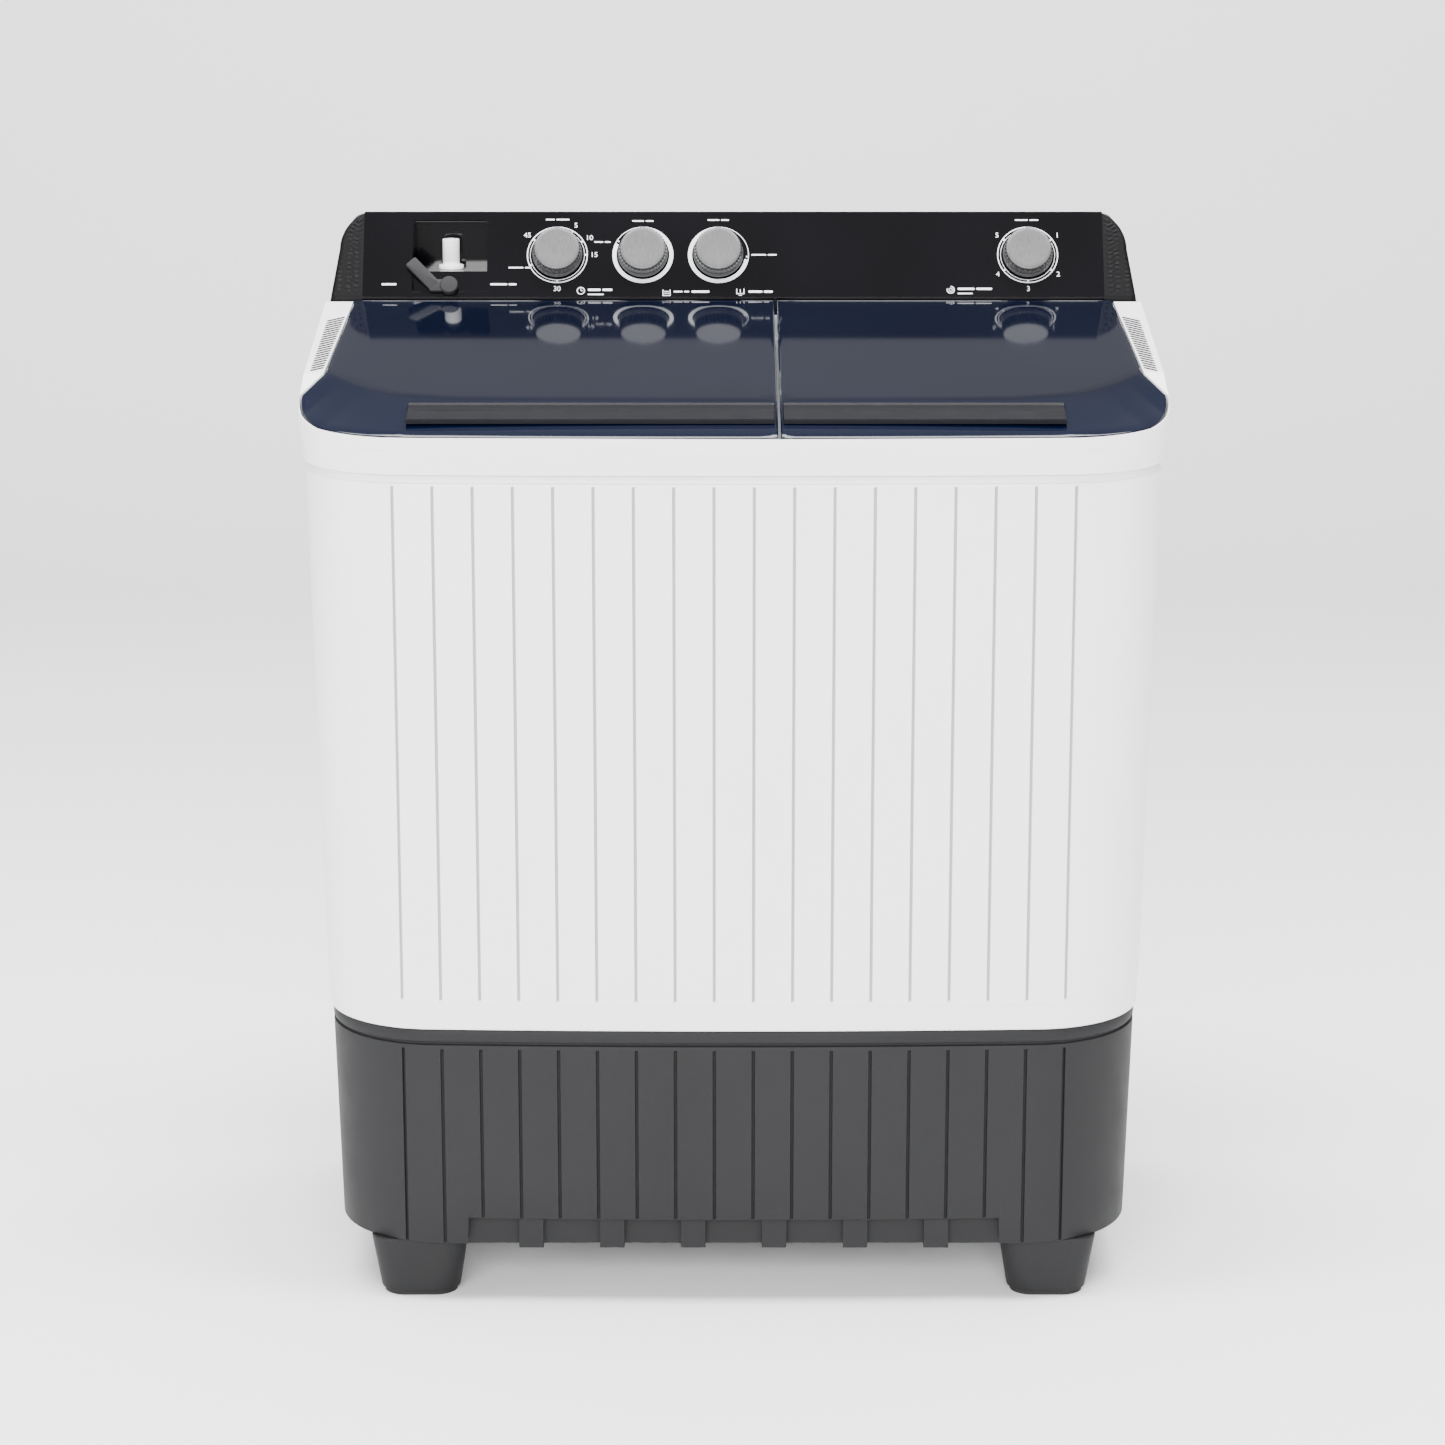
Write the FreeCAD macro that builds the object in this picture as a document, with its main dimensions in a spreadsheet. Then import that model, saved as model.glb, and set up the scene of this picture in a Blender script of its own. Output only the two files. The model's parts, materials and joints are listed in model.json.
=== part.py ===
"""Twin tub washing machine: a wash tub with a pulsator beside a spin basket, in one casing.

Frame: +Z is up, -Y is the front, the origin is under the middle of the casing on the floor.
Every size sits in the sheet "dims"; sizes worked out from them sit in the variable set "plan".
"""
import FreeCAD, Part
import Sketcher
import math
import os
import re

Vector = FreeCAD.Vector

DIMS = {
    # overall
    "overall_width": 830, "overall_depth": 500, "overall_height": 1029,
    # casing
    "foot_height": 62, "base_height": 220, "head_height": 205, "rim_height": 35,
    "cabinet_inset": 6, "cabinet_taper": 11, "base_inset": 3, "base_taper": 6,
    "corner_radius": 110, "rear_radius": 40, "front_bow": 6.5, "shell_wall": 3, "flange_width": 20,
    "stave_pitch": 37.5, "groove_width": 3, "groove_depth": 1.2, "plain_band": 26, "top_band": 9,
    "arch_half": 258, "arch_rise": 26, "pan_floor": 4, "pan_setback": 19, "pan_drop": 4,
    "rib_width": 24, "rib_pitch": 79, "rib_depth": 8,
    "foot_width": 95, "foot_depth": 84, "foot_taper": 9, "foot_inset_x": 33, "foot_inset_y": 18,
    "foot_pad_height": 4, "foot_round": 24,
    "cover_half": 300, "cover_height": 190, "cover_lap": 14, "cover_thick": 1.6,
    "screw_head": 4.5, "screw_shank": 2, "screw_length": 9,
    # frame and lids
    "frame_wall": 4, "frame_lip": 5, "rim_taper": 7, "fold_run": 75, "fold_rise": 25,
    "deck_front_drop": 14, "deck_back_drop": 36, "console_depth": 150, "sill_height": 18,
    "console_seat": 106, "lid_margin": 4, "lid_play": 2, "lid_thick": 4, "lid_skirt": 11,
    "lid_split": 42, "lid_gap": 2.4, "lid_shoulder": 24, "lid_back_inset": 36, "shoulder_y": 150,
    "lid_back_gap": 8, "hinge_gap": 26, "hinge_drop": 11, "hinge_pin": 2.5, "knuckle": 5.8, "lug_half": 4.6,
    "lug_top": 4.2,
    "knuckle_length": 16, "lug_length": 9, "handle_run": 40, "handle_gap": 7, "handle_rise": 3.5,
    "wash_handle_left": 306, "spin_handle_right": 310, "handle_margin": 2.8,
    # tubs
    "wash_x": 171, "wash_half": 209, "wash_front": 38, "wash_back": 100, "wash_radius": 120,
    "tub_wall": 3, "tub_floor": 30, "flange_lap": 9, "flange_thick": 4,
    "spin_x": 222, "spin_y": 40, "well_radius": 163, "spin_mouth": 112, "mouth_shift": 12,
    "mouth_side": 16, "mouth_front": 18, "mouth_back": 34, "mouth_radius": 90,
    # consoles and controls
    "panel_angle": 60, "panel_thick": 3, "panel_half": 372, "cap_inset": 8, "cap_lean": 14,
    "cap_round": 36, "console_wall": 3, "console_chamfer": 16, "console_fall": 14,
    "dial_rise": 46, "knob_radius": 25, "knob_height": 17, "knob_gap": 1.5, "knob_socket": 12,
    "dial_one": -177, "dial_two": -91, "dial_three": -15, "dial_four": 296,
    "control_shaft": 3, "timer_side": 46, "timer_depth": 34, "switch_side": 30, "switch_depth": 22,
    "crank_radius": 10, "crank_pin": 2, "crank_back": 40, "crank_thick": 4, "crank_room": 9.5,
    "crank_pin_length": 18,
    "recess_x": -285, "recess_half": 37.5, "recess_low": 6, "recess_high": 84, "recess_depth": 62,
    "recess_wall": 2, "shelf_rise": 24, "floor_border": 18,
    "spigot_radius": 8.5, "spigot_bore": 6, "spigot_length": 30,
    "spigot_y": 42, "lever_rise": 11, "lever_length": 36, "lever_foot": 15, "lever_width": 13, "lever_thick": 5,
    "lever_gap": 1.2, "lever_hub": 9, "lever_pin": 4, "lever_angle": 43,
    # drive
    "shaft_radius": 8, "fit_gap": 0.05, "seat_gap": 0.02, "pulsator_radius": 150,
    "pulsator_height": 34, "pulsator_gap": 4, "cap_radius": 28, "hub_radius": 24,
    "pulley_radius": 95, "pulley_thick": 20, "pulley_z": 200, "motor_pulley_radius": 19,
    "motor_gap": 168, "belt_depth": 7, "belt_width": 10, "belt_play": 0.4,
    "motor_radius": 62, "motor_height": 104, "motor_shaft": 6, "motor_wall": 6, "rotor_gap": 1,
    "spring_radius": 13, "spring_wire": 2, "spring_length": 34, "mount_radius": 84,
    "plate_thick": 4, "drum_radius": 46, "drum_height": 24, "drum_gap": 8, "bellows_radius": 34,
    "basket_radius": 140, "basket_wall": 2, "basket_gap": 42, "basket_height": 415,
    "ring_height": 30, "ring_width": 17, "spin_cover_radius": 120, "spin_cover_thick": 3,
    "cover_gap": 0.6, "cover_hinge_run": 124, "cover_pin": 2.5, "cover_lug_x": 38, "cover_lug": 8,
    # water
    "valve_radius": 24, "valve_height": 66, "valve_z": 232, "rod_radius": 2.5, "hose_radius": 11,
    "hose_wall": 2, "outlet_z": 112, "outlet_radius": 8, "outlet_collar": 2,
    "gland_radius": 9, "gland_bore": 4.2,
    "gland_x": 300, "gland_z": 130, "filter_width": 90, "filter_depth": 14, "filter_height": 130,
    "grille_width": 60, "grille_depth": 7, "capacitor_radius": 17, "capacitor_length": 60,
}

# Sizes that follow from the driving ones, in order, each a formula in the names above it.
PLAN = {
    "rim_half": "overall_width/2", "rim_front": "-overall_depth/2", "rim_back": "overall_depth/2",
    "cabinet_z": "foot_height+base_height", "frame_z": "overall_height-head_height",
    "rim_z": "frame_z+rim_height",
    "top_half": "rim_half-cabinet_inset", "top_front": "rim_front+cabinet_inset",
    "low_half": "top_half-cabinet_taper", "low_front": "top_front+cabinet_taper",
    "cabinet_back": "rim_back-cabinet_inset",
    "base_half": "low_half-base_inset", "base_front": "low_front+base_inset",
    "base_back": "cabinet_back-base_inset",
    "skirt_half": "base_half-base_taper", "skirt_front": "base_front+base_taper",
    "pan_z": "foot_height", "pan_top": "pan_z+pan_floor",
    "fold_y": "rim_front+fold_run", "fold_z": "rim_z+fold_rise",
    "console_y": "rim_back-console_depth", "console_z": "frame_z+console_seat",
    "panel_z": "console_z+sill_height",
    "lid_slope": "atan((panel_z-fold_z)/(console_y-fold_y))",
    "deck_front_z": "rim_z-deck_front_drop", "deck_back_z": "panel_z-deck_back_drop",
    "deck_slope": "atan((deck_back_z-deck_front_z)/(console_y-rim_front))",
    "lug_rise": "deck_back_drop-hinge_drop+1",
    "lid_back": "console_y-lid_back_gap", "hinge_y": "console_y-hinge_gap",
    "hinge_z": "fold_z+(hinge_y-fold_y)*tan(lid_slope)-hinge_drop",
    "wash_low": "rim_front+wash_front", "wash_high": "rim_back-wash_back",
    "wash_y": "(wash_low+wash_high)/2",
    "tub_z": "cabinet_z+tub_floor", "floor_z": "tub_z+tub_wall",
    "panel_length": "(overall_height-panel_z)/sin(panel_angle)",
    "console_rear": "rim_back-3",
    "pulley_top": "pulley_z+pulley_thick", "wash_motor_x": "-wash_x+motor_gap",
    "spin_plate_z": "pan_top+spring_length", "spin_motor_z": "spin_plate_z+plate_thick",
    "drum_z": "spin_motor_z+motor_height+drum_gap", "basket_z": "tub_z+basket_gap",
    "basket_top": "basket_z+basket_height",
    "crank_y": "console_y+dial_rise*cos(panel_angle)+(crank_back+crank_thick+crank_room)*sin(panel_angle)",
    "crank_z": "panel_z+dial_rise*sin(panel_angle)-(crank_back+crank_thick+crank_room)*cos(panel_angle)",
    "rod_x": "dial_three-crank_radius*0.85", "valve_top": "valve_z+valve_height",
    "shelf_z": "panel_z+shelf_rise", "outlet_y": "base_back-shell_wall-4",
}

NAME = re.compile(r"\b[a-z][a-z_0-9]*\b")


def cell(text):
    """Qualify the sheet's and the plan's names in a formula."""
    def full(match):
        word = match.group(0)
        if word in DIMS:
            return "dims." + word
        return "plan." + word if word in PLAN else word
    return NAME.sub(full, str(text))


doc = FreeCAD.newDocument("twin_tub_washer")
sheet = doc.addObject("Spreadsheet::Sheet", "dims")
for row, (alias, size) in enumerate(DIMS.items(), start=1):
    sheet.set(f"A{row}", alias)
    sheet.set(f"B{row}", str(size))
    sheet.setAlias(f"B{row}", alias)
doc.recompute()
plan = doc.addObject("App::VarSet", "plan")
for alias, formula in PLAN.items():
    plan.addProperty("App::PropertyFloat", alias)
    plan.setExpression(alias, cell(formula))
doc.recompute()


def value(text):
    """The number a formula gives now."""
    return float(sheet.evalExpression(cell(text)))


def bind(thing, **sizes):
    """Bind properties to formulas; a double underscore stands for a dot."""
    for prop, text in sizes.items():
        thing.setExpression(prop.replace("__", "."), cell(text))
    return thing


TURNS = {
    "XY": FreeCAD.Rotation(),
    "YZ": FreeCAD.Rotation(Vector(0, 1, 0), Vector(0, 0, 1), Vector(1, 0, 0), "XYZ"),
    "XZ": FreeCAD.Rotation(Vector(1, 0, 0), Vector(0, 0, 1), Vector(0, -1, 0), "XYZ"),
}


def place(thing, spot=(0, 0, 0), turn=None, tilt=None):
    """Put a thing at a spot; turn is a fixed rotation, tilt an angle formula about X."""
    if tilt is not None:
        thing.Placement = FreeCAD.Placement(Vector(), FreeCAD.Rotation(Vector(1, 0, 0), value(tilt)))
        bind(thing, Placement__Rotation__Angle=tilt)
    elif turn is not None:
        thing.Placement = FreeCAD.Placement(Vector(), turn)
    x, y, z = spot
    return bind(thing, Placement__Base__x=x, Placement__Base__y=y, Placement__Base__z=z)


def arc(first, last, radius, turn):
    """The minor arc from first to last, and which of its ends is first."""
    side = 1 if turn == "left" else -1
    chord = Vector(last[0] - first[0], last[1] - first[1], 0)
    height = math.sqrt(max(radius ** 2 - chord.Length ** 2 / 4, 0)) * side / chord.Length
    middle = Vector(first[0] + chord.x / 2 - chord.y * height, first[1] + chord.y / 2 + chord.x * height, 0)
    start, end = [math.atan2(p[1] - middle.y, p[0] - middle.x) for p in (first, last)]
    circle = Part.Circle(middle, Vector(0, 0, 1), radius)
    if turn == "left":
        return Part.ArcOfCircle(circle, start, end), 1
    return Part.ArcOfCircle(circle, end, start), 2


def draw(loops, plane="XY", start=0, body=None):
    """A sketch of closed loops, bound corner by corner.

    A loop is (x, y, radius) for a circle, or a list of corners: (x, y), or (x, y, radius, turn)
    when an arc arrives at that corner. Inside a body it lies on one of the body's origin planes.
    """
    if body is None:
        sketch = doc.addObject("Sketcher::SketchObject", "outline")
        along = {"XY": (0, 0, start), "YZ": (start, 0, 0), "XZ": (0, start, 0)}[plane]
        place(sketch, along, TURNS[plane])
    else:
        sketch = body.newObject("Sketcher::SketchObject", body.Label + "_sketch")
        sketch.AttachmentSupport = [(origin_plane(body, plane), "")]
        sketch.MapMode = "FlatFace"
        bind(sketch, AttachmentOffset__Base__z=start if plane != "XZ" else f"-({start})")
    for loop in loops:
        if isinstance(loop, tuple):
            x, y, radius = loop
            one = sketch.addGeometry(Part.Circle(Vector(value(x), value(y), 0), Vector(0, 0, 1),
                                                 value(radius)), False)
            pin(sketch, one, 3, x, y)
            size(sketch, one, radius)
            continue
        spots = [(value(corner[0]), value(corner[1])) for corner in loop]
        ends = []
        for number, corner in enumerate(loop):
            before = spots[number - 1]
            if len(corner) == 2:
                edge = Part.LineSegment(Vector(*before, 0), Vector(*spots[number], 0))
                ends.append((sketch.addGeometry(edge, False), 1))
            else:
                edge, head = arc(before, spots[number], value(corner[2]), corner[3])
                ends.append((sketch.addGeometry(edge, False), head))
                size(sketch, ends[-1][0], corner[2])
        for number, (edge, head) in enumerate(ends):
            after, after_head = ends[(number + 1) % len(ends)]
            sketch.addConstraint(Sketcher.Constraint("Coincident", edge, 3 - head, after, after_head))
            pin(sketch, edge, 3 - head, loop[number][0], loop[number][1])
    return sketch


def pin(sketch, edge, point, x, y):
    """Hold a point of a sketch at formulas in x and y."""
    for kind, text in (("DistanceX", x), ("DistanceY", y)):
        rule = sketch.addConstraint(Sketcher.Constraint(kind, -1, 1, edge, point, value(text)))
        sketch.setExpression(f"Constraints[{rule}]", cell(text))


def size(sketch, edge, radius):
    """Hold a radius of a sketch at a formula."""
    rule = sketch.addConstraint(Sketcher.Constraint("Radius", edge, value(radius)))
    sketch.setExpression(f"Constraints[{rule}]", cell(radius))


def origin_plane(body, plane):
    return [one for one in body.Origin.OriginFeatures if one.Role == plane + "_Plane"][0]


def rectangle(x_low, y_low, x_high, y_high, radius=None):
    """A rectangle's loop, anticlockwise, with rounded corners when a radius is given."""
    if radius is None:
        return [(x_low, y_low), (x_high, y_low), (x_high, y_high), (x_low, y_high)]
    x1, x2 = f"{x_low}+({radius})", f"{x_high}-({radius})"
    y1, y2 = f"{y_low}+({radius})", f"{y_high}-({radius})"
    return [(x1, y_low, radius, "left"), (x2, y_low), (x_high, y1, radius, "left"), (x_high, y2),
            (x2, y_high, radius, "left"), (x1, y_high), (x_low, y2, radius, "left"), (x_low, y1)]


def prism(loops, plane, start, length):
    """A straight solid on a sketch, along the plane's own X, -Y or Z direction."""
    solid = doc.addObject("Part::Extrusion", "prism")
    solid.Base = draw(loops, plane, start)
    solid.DirMode = "Normal"
    solid.Solid = True
    return bind(solid, LengthFwd=length)


def box(x, y, z, length, width, height):
    return place(bind(doc.addObject("Part::Box", "box"), Length=length, Width=width, Height=height),
                 (x, y, z))


AXES = {"Z": Vector(0, 0, 1), "X": Vector(1, 0, 0), "Y": Vector(0, 1, 0)}


def rod(x, y, z, radius, length, along="Z"):
    solid = bind(doc.addObject("Part::Cylinder", "rod"), Radius=radius, Height=length)
    return place(solid, (x, y, z), FreeCAD.Rotation(AXES["Z"], AXES[along]))


def named(thing, label):
    thing.Label = label
    return thing


def join(label, *pieces):
    thing = doc.addObject("Part::MultiFuse", "join")
    thing.Shapes = list(pieces)
    return named(thing, label)


def group(label, *pieces):
    thing = doc.addObject("Part::Compound", "group")
    thing.Links = list(pieces)
    return named(thing, label)


def cut(label, base, *tools):
    thing = doc.addObject("Part::Cut", "cut")
    thing.Base = base
    thing.Tool = tools[0] if len(tools) == 1 else group("tools", *tools)
    return named(thing, label)


def overlap(label, one, other):
    thing = doc.addObject("Part::Common", "overlap")
    thing.Base, thing.Tool = one, other
    return named(thing, label)


def new_body(label, spot=(0, 0, 0), tilt=None):
    return place(named(doc.addObject("PartDesign::Body", label), label), spot, tilt=tilt)


def pad(body, loops, start, length, plane="XY"):
    feature = body.newObject("PartDesign::Pad", body.Label + "_pad")
    feature.Profile = draw(loops, plane, start, body)
    return bind(feature, Length=length)


def pocket(body, loops, start, depth, plane="XY"):
    """Cut upwards from start, so the sketch sits at the pocket's lower face."""
    feature = body.newObject("PartDesign::Pocket", body.Label + "_pocket")
    feature.Profile = draw(loops, plane, start, body)
    feature.Reversed = True
    return bind(feature, Length=depth)


def turn(body, corners, cutting=False):
    """Revolve (radius, height) corners about the body's own Z axis."""
    kind = "Groove" if cutting else "Revolution"
    feature = body.newObject("PartDesign::" + kind, body.Label + "_turned")
    feature.Profile = draw([corners], "XZ", 0, body)
    feature.ReferenceAxis = (feature.Profile[0], ["V_Axis"])
    feature.Angle = 360
    return feature


def turned(label, spot, corners, tilt=None):
    body = new_body(label, spot, tilt)
    turn(body, corners)
    return body


def loft(first, last, low, high):
    """A solid between two outlines at two heights."""
    solid = doc.addObject("Part::Loft", "loft")
    solid.Sections = [draw([first], "XY", low), draw([last], "XY", high)]
    solid.Solid = True
    solid.Ruled = True
    return solid


def plan_outline(half, front, back, inset=0):
    """The casing's outline seen from above: round corners and a slightly bowed front."""
    side, nose, tail = f"({half}-({inset}))", f"({front}+({inset}))", f"({back}-({inset}))"
    corner, rear = f"(corner_radius-({inset}))", f"(rear_radius-({inset}))"
    flat = f"({half}-corner_radius)"
    bow = f"(({half}-corner_radius)^2+front_bow^2)/(2*front_bow)"
    return [(f"-{flat}", f"{nose}+front_bow", corner, "left"),
            (flat, f"{nose}+front_bow", bow, "left"),
            (side, f"{nose}+front_bow+{corner}", corner, "left"),
            (side, f"{tail}-{rear}"),
            (f"{side}-{rear}", tail, rear, "left"),
            (f"{rear}-{side}", tail),
            (f"-{side}", f"{tail}-{rear}", rear, "left"),
            (f"-{side}", f"{nose}+front_bow+{corner}")]


CABINET_LOW = ("low_half", "low_front", "cabinet_back")
CABINET_TOP = ("top_half", "top_front", "cabinet_back")
BASE_LOW = ("skirt_half", "skirt_front", "base_back")
BASE_TOP = ("base_half", "base_front", "base_back")


def casing_solid(low, top, low_z, top_z, inset=0):
    return loft(plan_outline(*low, inset), plan_outline(*top, inset), low_z, top_z)


def stave_grooves(low, top, low_z, top_z, cut_low, cut_top, numbers):
    """Thin upright slots, groove_depth deep, all round a tapered casing's front."""
    skin = cut("skin", casing_solid(low, top, low_z, top_z),
               casing_solid(low, top, low_z, top_z, "groove_depth"))
    slots = [box(f"{number}*stave_pitch-groove_width/2", "rim_front-1", cut_low, "groove_width",
                 "corner_radius+front_bow", f"({cut_top})-({cut_low})") for number in numbers]
    return overlap("grooves", skin, group("slots", *slots))


STAVES = [number - 8.5 for number in range(18)]


def cabinet():
    """White outer casing with eighteen grooves between its staves and a service opening behind."""
    shell = cut("shell", casing_solid(CABINET_LOW, CABINET_TOP, "cabinet_z", "frame_z"),
                casing_solid(CABINET_LOW, CABINET_TOP, "cabinet_z", "frame_z", "shell_wall"))
    flange = cut("flange",
                 prism([plan_outline(*CABINET_LOW, "shell_wall")], "XY", "cabinet_z", "shell_wall"),
                 prism([plan_outline(*CABINET_LOW, "flange_width")], "XY", "cabinet_z", "shell_wall"))
    grooves = stave_grooves(CABINET_LOW, CABINET_TOP, "cabinet_z", "frame_z",
                            "cabinet_z+plain_band", "frame_z-top_band", STAVES)
    opening = box("-cover_half", "cabinet_back-2*shell_wall", "cabinet_z+plain_band", "2*cover_half",
                  "4*shell_wall", "cover_height")
    holes = [rod(x, "cabinet_back-2*shell_wall", z, "screw_shank+seat_gap", "4*shell_wall", "Y")
             for x, z in cover_screws()]
    return cut("cabinet", join("cabinet_shell", shell, flange), grooves, opening, *holes)


def cover_screws():
    """Six screw places round the service opening."""
    low, high = "cabinet_z+plain_band-cover_lap/2", "cabinet_z+plain_band+cover_height+cover_lap/2"
    return [(x, z) for z in (low, high) for x in ("-cover_half*0.9", "0", "cover_half*0.9")]


def rear_cover():
    plate = box("-cover_half-cover_lap", "cabinet_back", "cabinet_z+plain_band-cover_lap",
                "2*cover_half+2*cover_lap", "cover_thick", "cover_height+2*cover_lap")
    holes = [rod(x, "cabinet_back-1", z, "screw_shank+seat_gap", "cover_thick+2", "Y")
             for x, z in cover_screws()]
    slots = [box(x, "cabinet_back-1", f"cabinet_z+plain_band+cover_height*{level}", "80",
                 "cover_thick+2", "5") for level in (0.3, 0.4, 0.5, 0.6, 0.7) for x in ("-220", "140")]
    return cut("rear_cover", plate, *holes, *slots)


def rear_cover_screws():
    screws = []
    for x, z in cover_screws():
        head = rod(x, "cabinet_back+cover_thick", z, "screw_head", "2.4", "Y")
        shank = rod(x, "cabinet_back+cover_thick-screw_length", z, "screw_shank", "screw_length", "Y")
        screws.append(join("screw", head, shank))
    return group("rear_cover_screws", *screws)


def base_casing():
    """Dark lower skirt: grooved in line with the cabinet, with a long arch under its front."""
    shell = cut("shell", casing_solid(BASE_LOW, BASE_TOP, "foot_height", "cabinet_z"),
                casing_solid(BASE_LOW, BASE_TOP, "foot_height", "cabinet_z", "shell_wall"))
    flange = cut("flange", prism([plan_outline(*BASE_TOP, "shell_wall/2")], "XY", "cabinet_z-shell_wall",
                                 "shell_wall"),
                 prism([plan_outline(*BASE_TOP, "flange_width")], "XY", "cabinet_z-shell_wall",
                       "shell_wall"))
    ledge = cut("ledge", prism([plan_outline(*BASE_LOW, "shell_wall/2")], "XY", "pan_top", "shell_wall"),
                prism([plan_outline(*BASE_LOW, "flange_width")], "XY", "pan_top", "shell_wall"),
                box("-arch_half-6", "rim_front", "pan_top-1", "2*arch_half+12", "overall_depth/4",
                    "shell_wall+2"))
    grooves = stave_grooves(BASE_LOW, BASE_TOP, "foot_height", "cabinet_z", "foot_height",
                            "cabinet_z-2*top_band", STAVES)
    arch = box("-arch_half", "rim_front", "foot_height-1", "2*arch_half", "overall_depth/8", "arch_rise+1")
    outlet = rod("rod_x", "base_back-3*shell_wall", "outlet_z", "hose_radius-hose_wall+seat_gap",
                 "6*shell_wall", "Y")
    gland = rod("gland_x", "base_back-3*shell_wall", "gland_z", "gland_radius-2+seat_gap",
                "6*shell_wall", "Y")
    return cut("base_casing", join("base_shell", shell, flange, ledge), grooves, arch, outlet, gland)


def base_pan():
    """Floor of the machine, with a ribbed wall set back behind the arch."""
    floor = prism([plan_outline(*BASE_LOW, "shell_wall+0.6")], "XY", "pan_z", "pan_floor")
    notch = box("-arch_half-4", "rim_front", "pan_z-1", "2*arch_half+8",
                "skirt_front+pan_setback-rim_front", "pan_floor+2")
    wall = box("-arch_half-4", "skirt_front+pan_setback", "foot_height-pan_drop", "2*arch_half+8",
               "shell_wall", "arch_rise+pan_drop+10")
    ribs = [box(f"{number}*rib_pitch-rib_width/2", "skirt_front+pan_setback-rib_depth",
                "foot_height-pan_drop-2", "rib_width", "rib_depth+1", "arch_rise+pan_drop+6")
            for number in (-2.5, -1.5, -0.5, 0.5, 1.5, 2.5)]
    return join("base_pan", cut("pan_floor_plate", floor, notch), wall, *ribs)


def corner_places():
    """Signs and reach of the four feet: x side, then front or back."""
    x = "(skirt_half-foot_inset_x-foot_width/2)"
    front = "(skirt_front+foot_inset_y+foot_depth/2)"
    back = "(base_back-foot_inset_y-foot_depth/2)"
    return [(f"-{x}", front), (x, front), (f"-{x}", back), (x, back)]


def feet():
    """Four hollow-looking tapered blocks under the pan."""
    blocks = []
    for x, y in corner_places():
        top = rectangle(f"{x}-foot_width/2", f"{y}-foot_depth/2", f"{x}+foot_width/2",
                        f"{y}+foot_depth/2", "foot_round")
        low = rectangle(f"{x}-foot_width/2+foot_taper", f"{y}-foot_depth/2+foot_taper",
                        f"{x}+foot_width/2-foot_taper", f"{y}+foot_depth/2-foot_taper", "foot_round")
        blocks.append(loft(low, top, "foot_pad_height", "pan_z"))
    return group("feet", *blocks)


def foot_pads():
    inset = "(foot_taper+3)"
    return group("foot_pads", *[
        prism([rectangle(f"{x}-foot_width/2+{inset}", f"{y}-foot_depth/2+{inset}",
                         f"{x}+foot_width/2-{inset}", f"{y}+foot_depth/2-{inset}", "foot_round-3")],
              "XY", 0, "foot_pad_height") for x, y in corner_places()])


def above(points):
    """A full-width tool that takes away everything above a line of (y, z) points."""
    first, last = points[0], points[-1]
    loop = [(f"{first[0]}-20", first[1])] + points + [
        (f"{last[0]}+20", last[1]), (f"{last[0]}+20", "overall_height+20"),
        (f"{first[0]}-20", "overall_height+20")]
    return prism([loop], "YZ", "-rim_half-10", "overall_width+20")


TOP_LINE = [("rim_front", "rim_z"), ("rim_front+0.67*fold_run", "rim_z+0.12*fold_rise"),
            ("rim_front+1.2*fold_run", "rim_z+0.44*fold_rise"),
            ("rim_front+1.6*fold_run", "rim_z+1.04*fold_rise"),
            ("rim_front+shoulder_y", "fold_z+(rim_front+shoulder_y-fold_y)*tan(lid_slope)-1.5"),
            ("console_y-lid_back_gap/2", "panel_z-4"), ("console_y-lid_back_gap/2+1", "console_z"),
            ("rim_back", "console_z")]


def swing_room(wall="0"):
    """Room behind both lids for their back edges as they swing, grown by a wall."""
    return box(f"-rim_half+lid_back_inset-lid_play-{wall}", "lid_back", "frame_z",
               f"2*(rim_half-lid_back_inset+lid_play+{wall})", f"lid_back_gap/2+2+{wall}", "head_height")


def frame_hollow():
    """The space inside the top frame, under its deck and inside its side strips."""
    inner = join("inner", loft(plan_outline("rim_half-frame_lip", "rim_front+frame_lip",
                                            "rim_back-frame_lip", "frame_wall"),
                               plan_outline("rim_half", "rim_front", "rim_back", "frame_wall"),
                               "frame_z", "rim_z"),
                 loft(plan_outline("rim_half", "rim_front", "rim_back", "frame_wall"),
                      plan_outline("rim_half-rim_taper", "rim_front+rim_taper", "rim_back",
                                   "frame_wall"), "rim_z", "panel_z"))
    lowered = [(y, f"{z}-frame_wall") for y, z in TOP_LINE]
    tray = cut("tray", join("trays", lid_prism("left", "lid_play+frame_wall"),
                            lid_prism("right", "lid_play+frame_wall"), swing_room("frame_wall")),
               below(deck_line("-frame_wall")))
    return cut("frame_hollow", inner, above(lowered), tray)


def below(points):
    """A full-width tool that takes away everything below a line of (y, z) points."""
    first, last = points[0], points[-1]
    loop = [(f"{first[0]}-20", 0)] + [(f"{last[0]}+20", 0), (f"{last[0]}+20", last[1])] + [
        *reversed(points), (f"{first[0]}-20", first[1])]
    return prism([loop], "YZ", "-rim_half-10", "overall_width+20")


def deck_line(shift="+0"):
    return [("rim_front", f"deck_front_z{shift}"), ("console_y", f"deck_back_z{shift}")]


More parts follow.
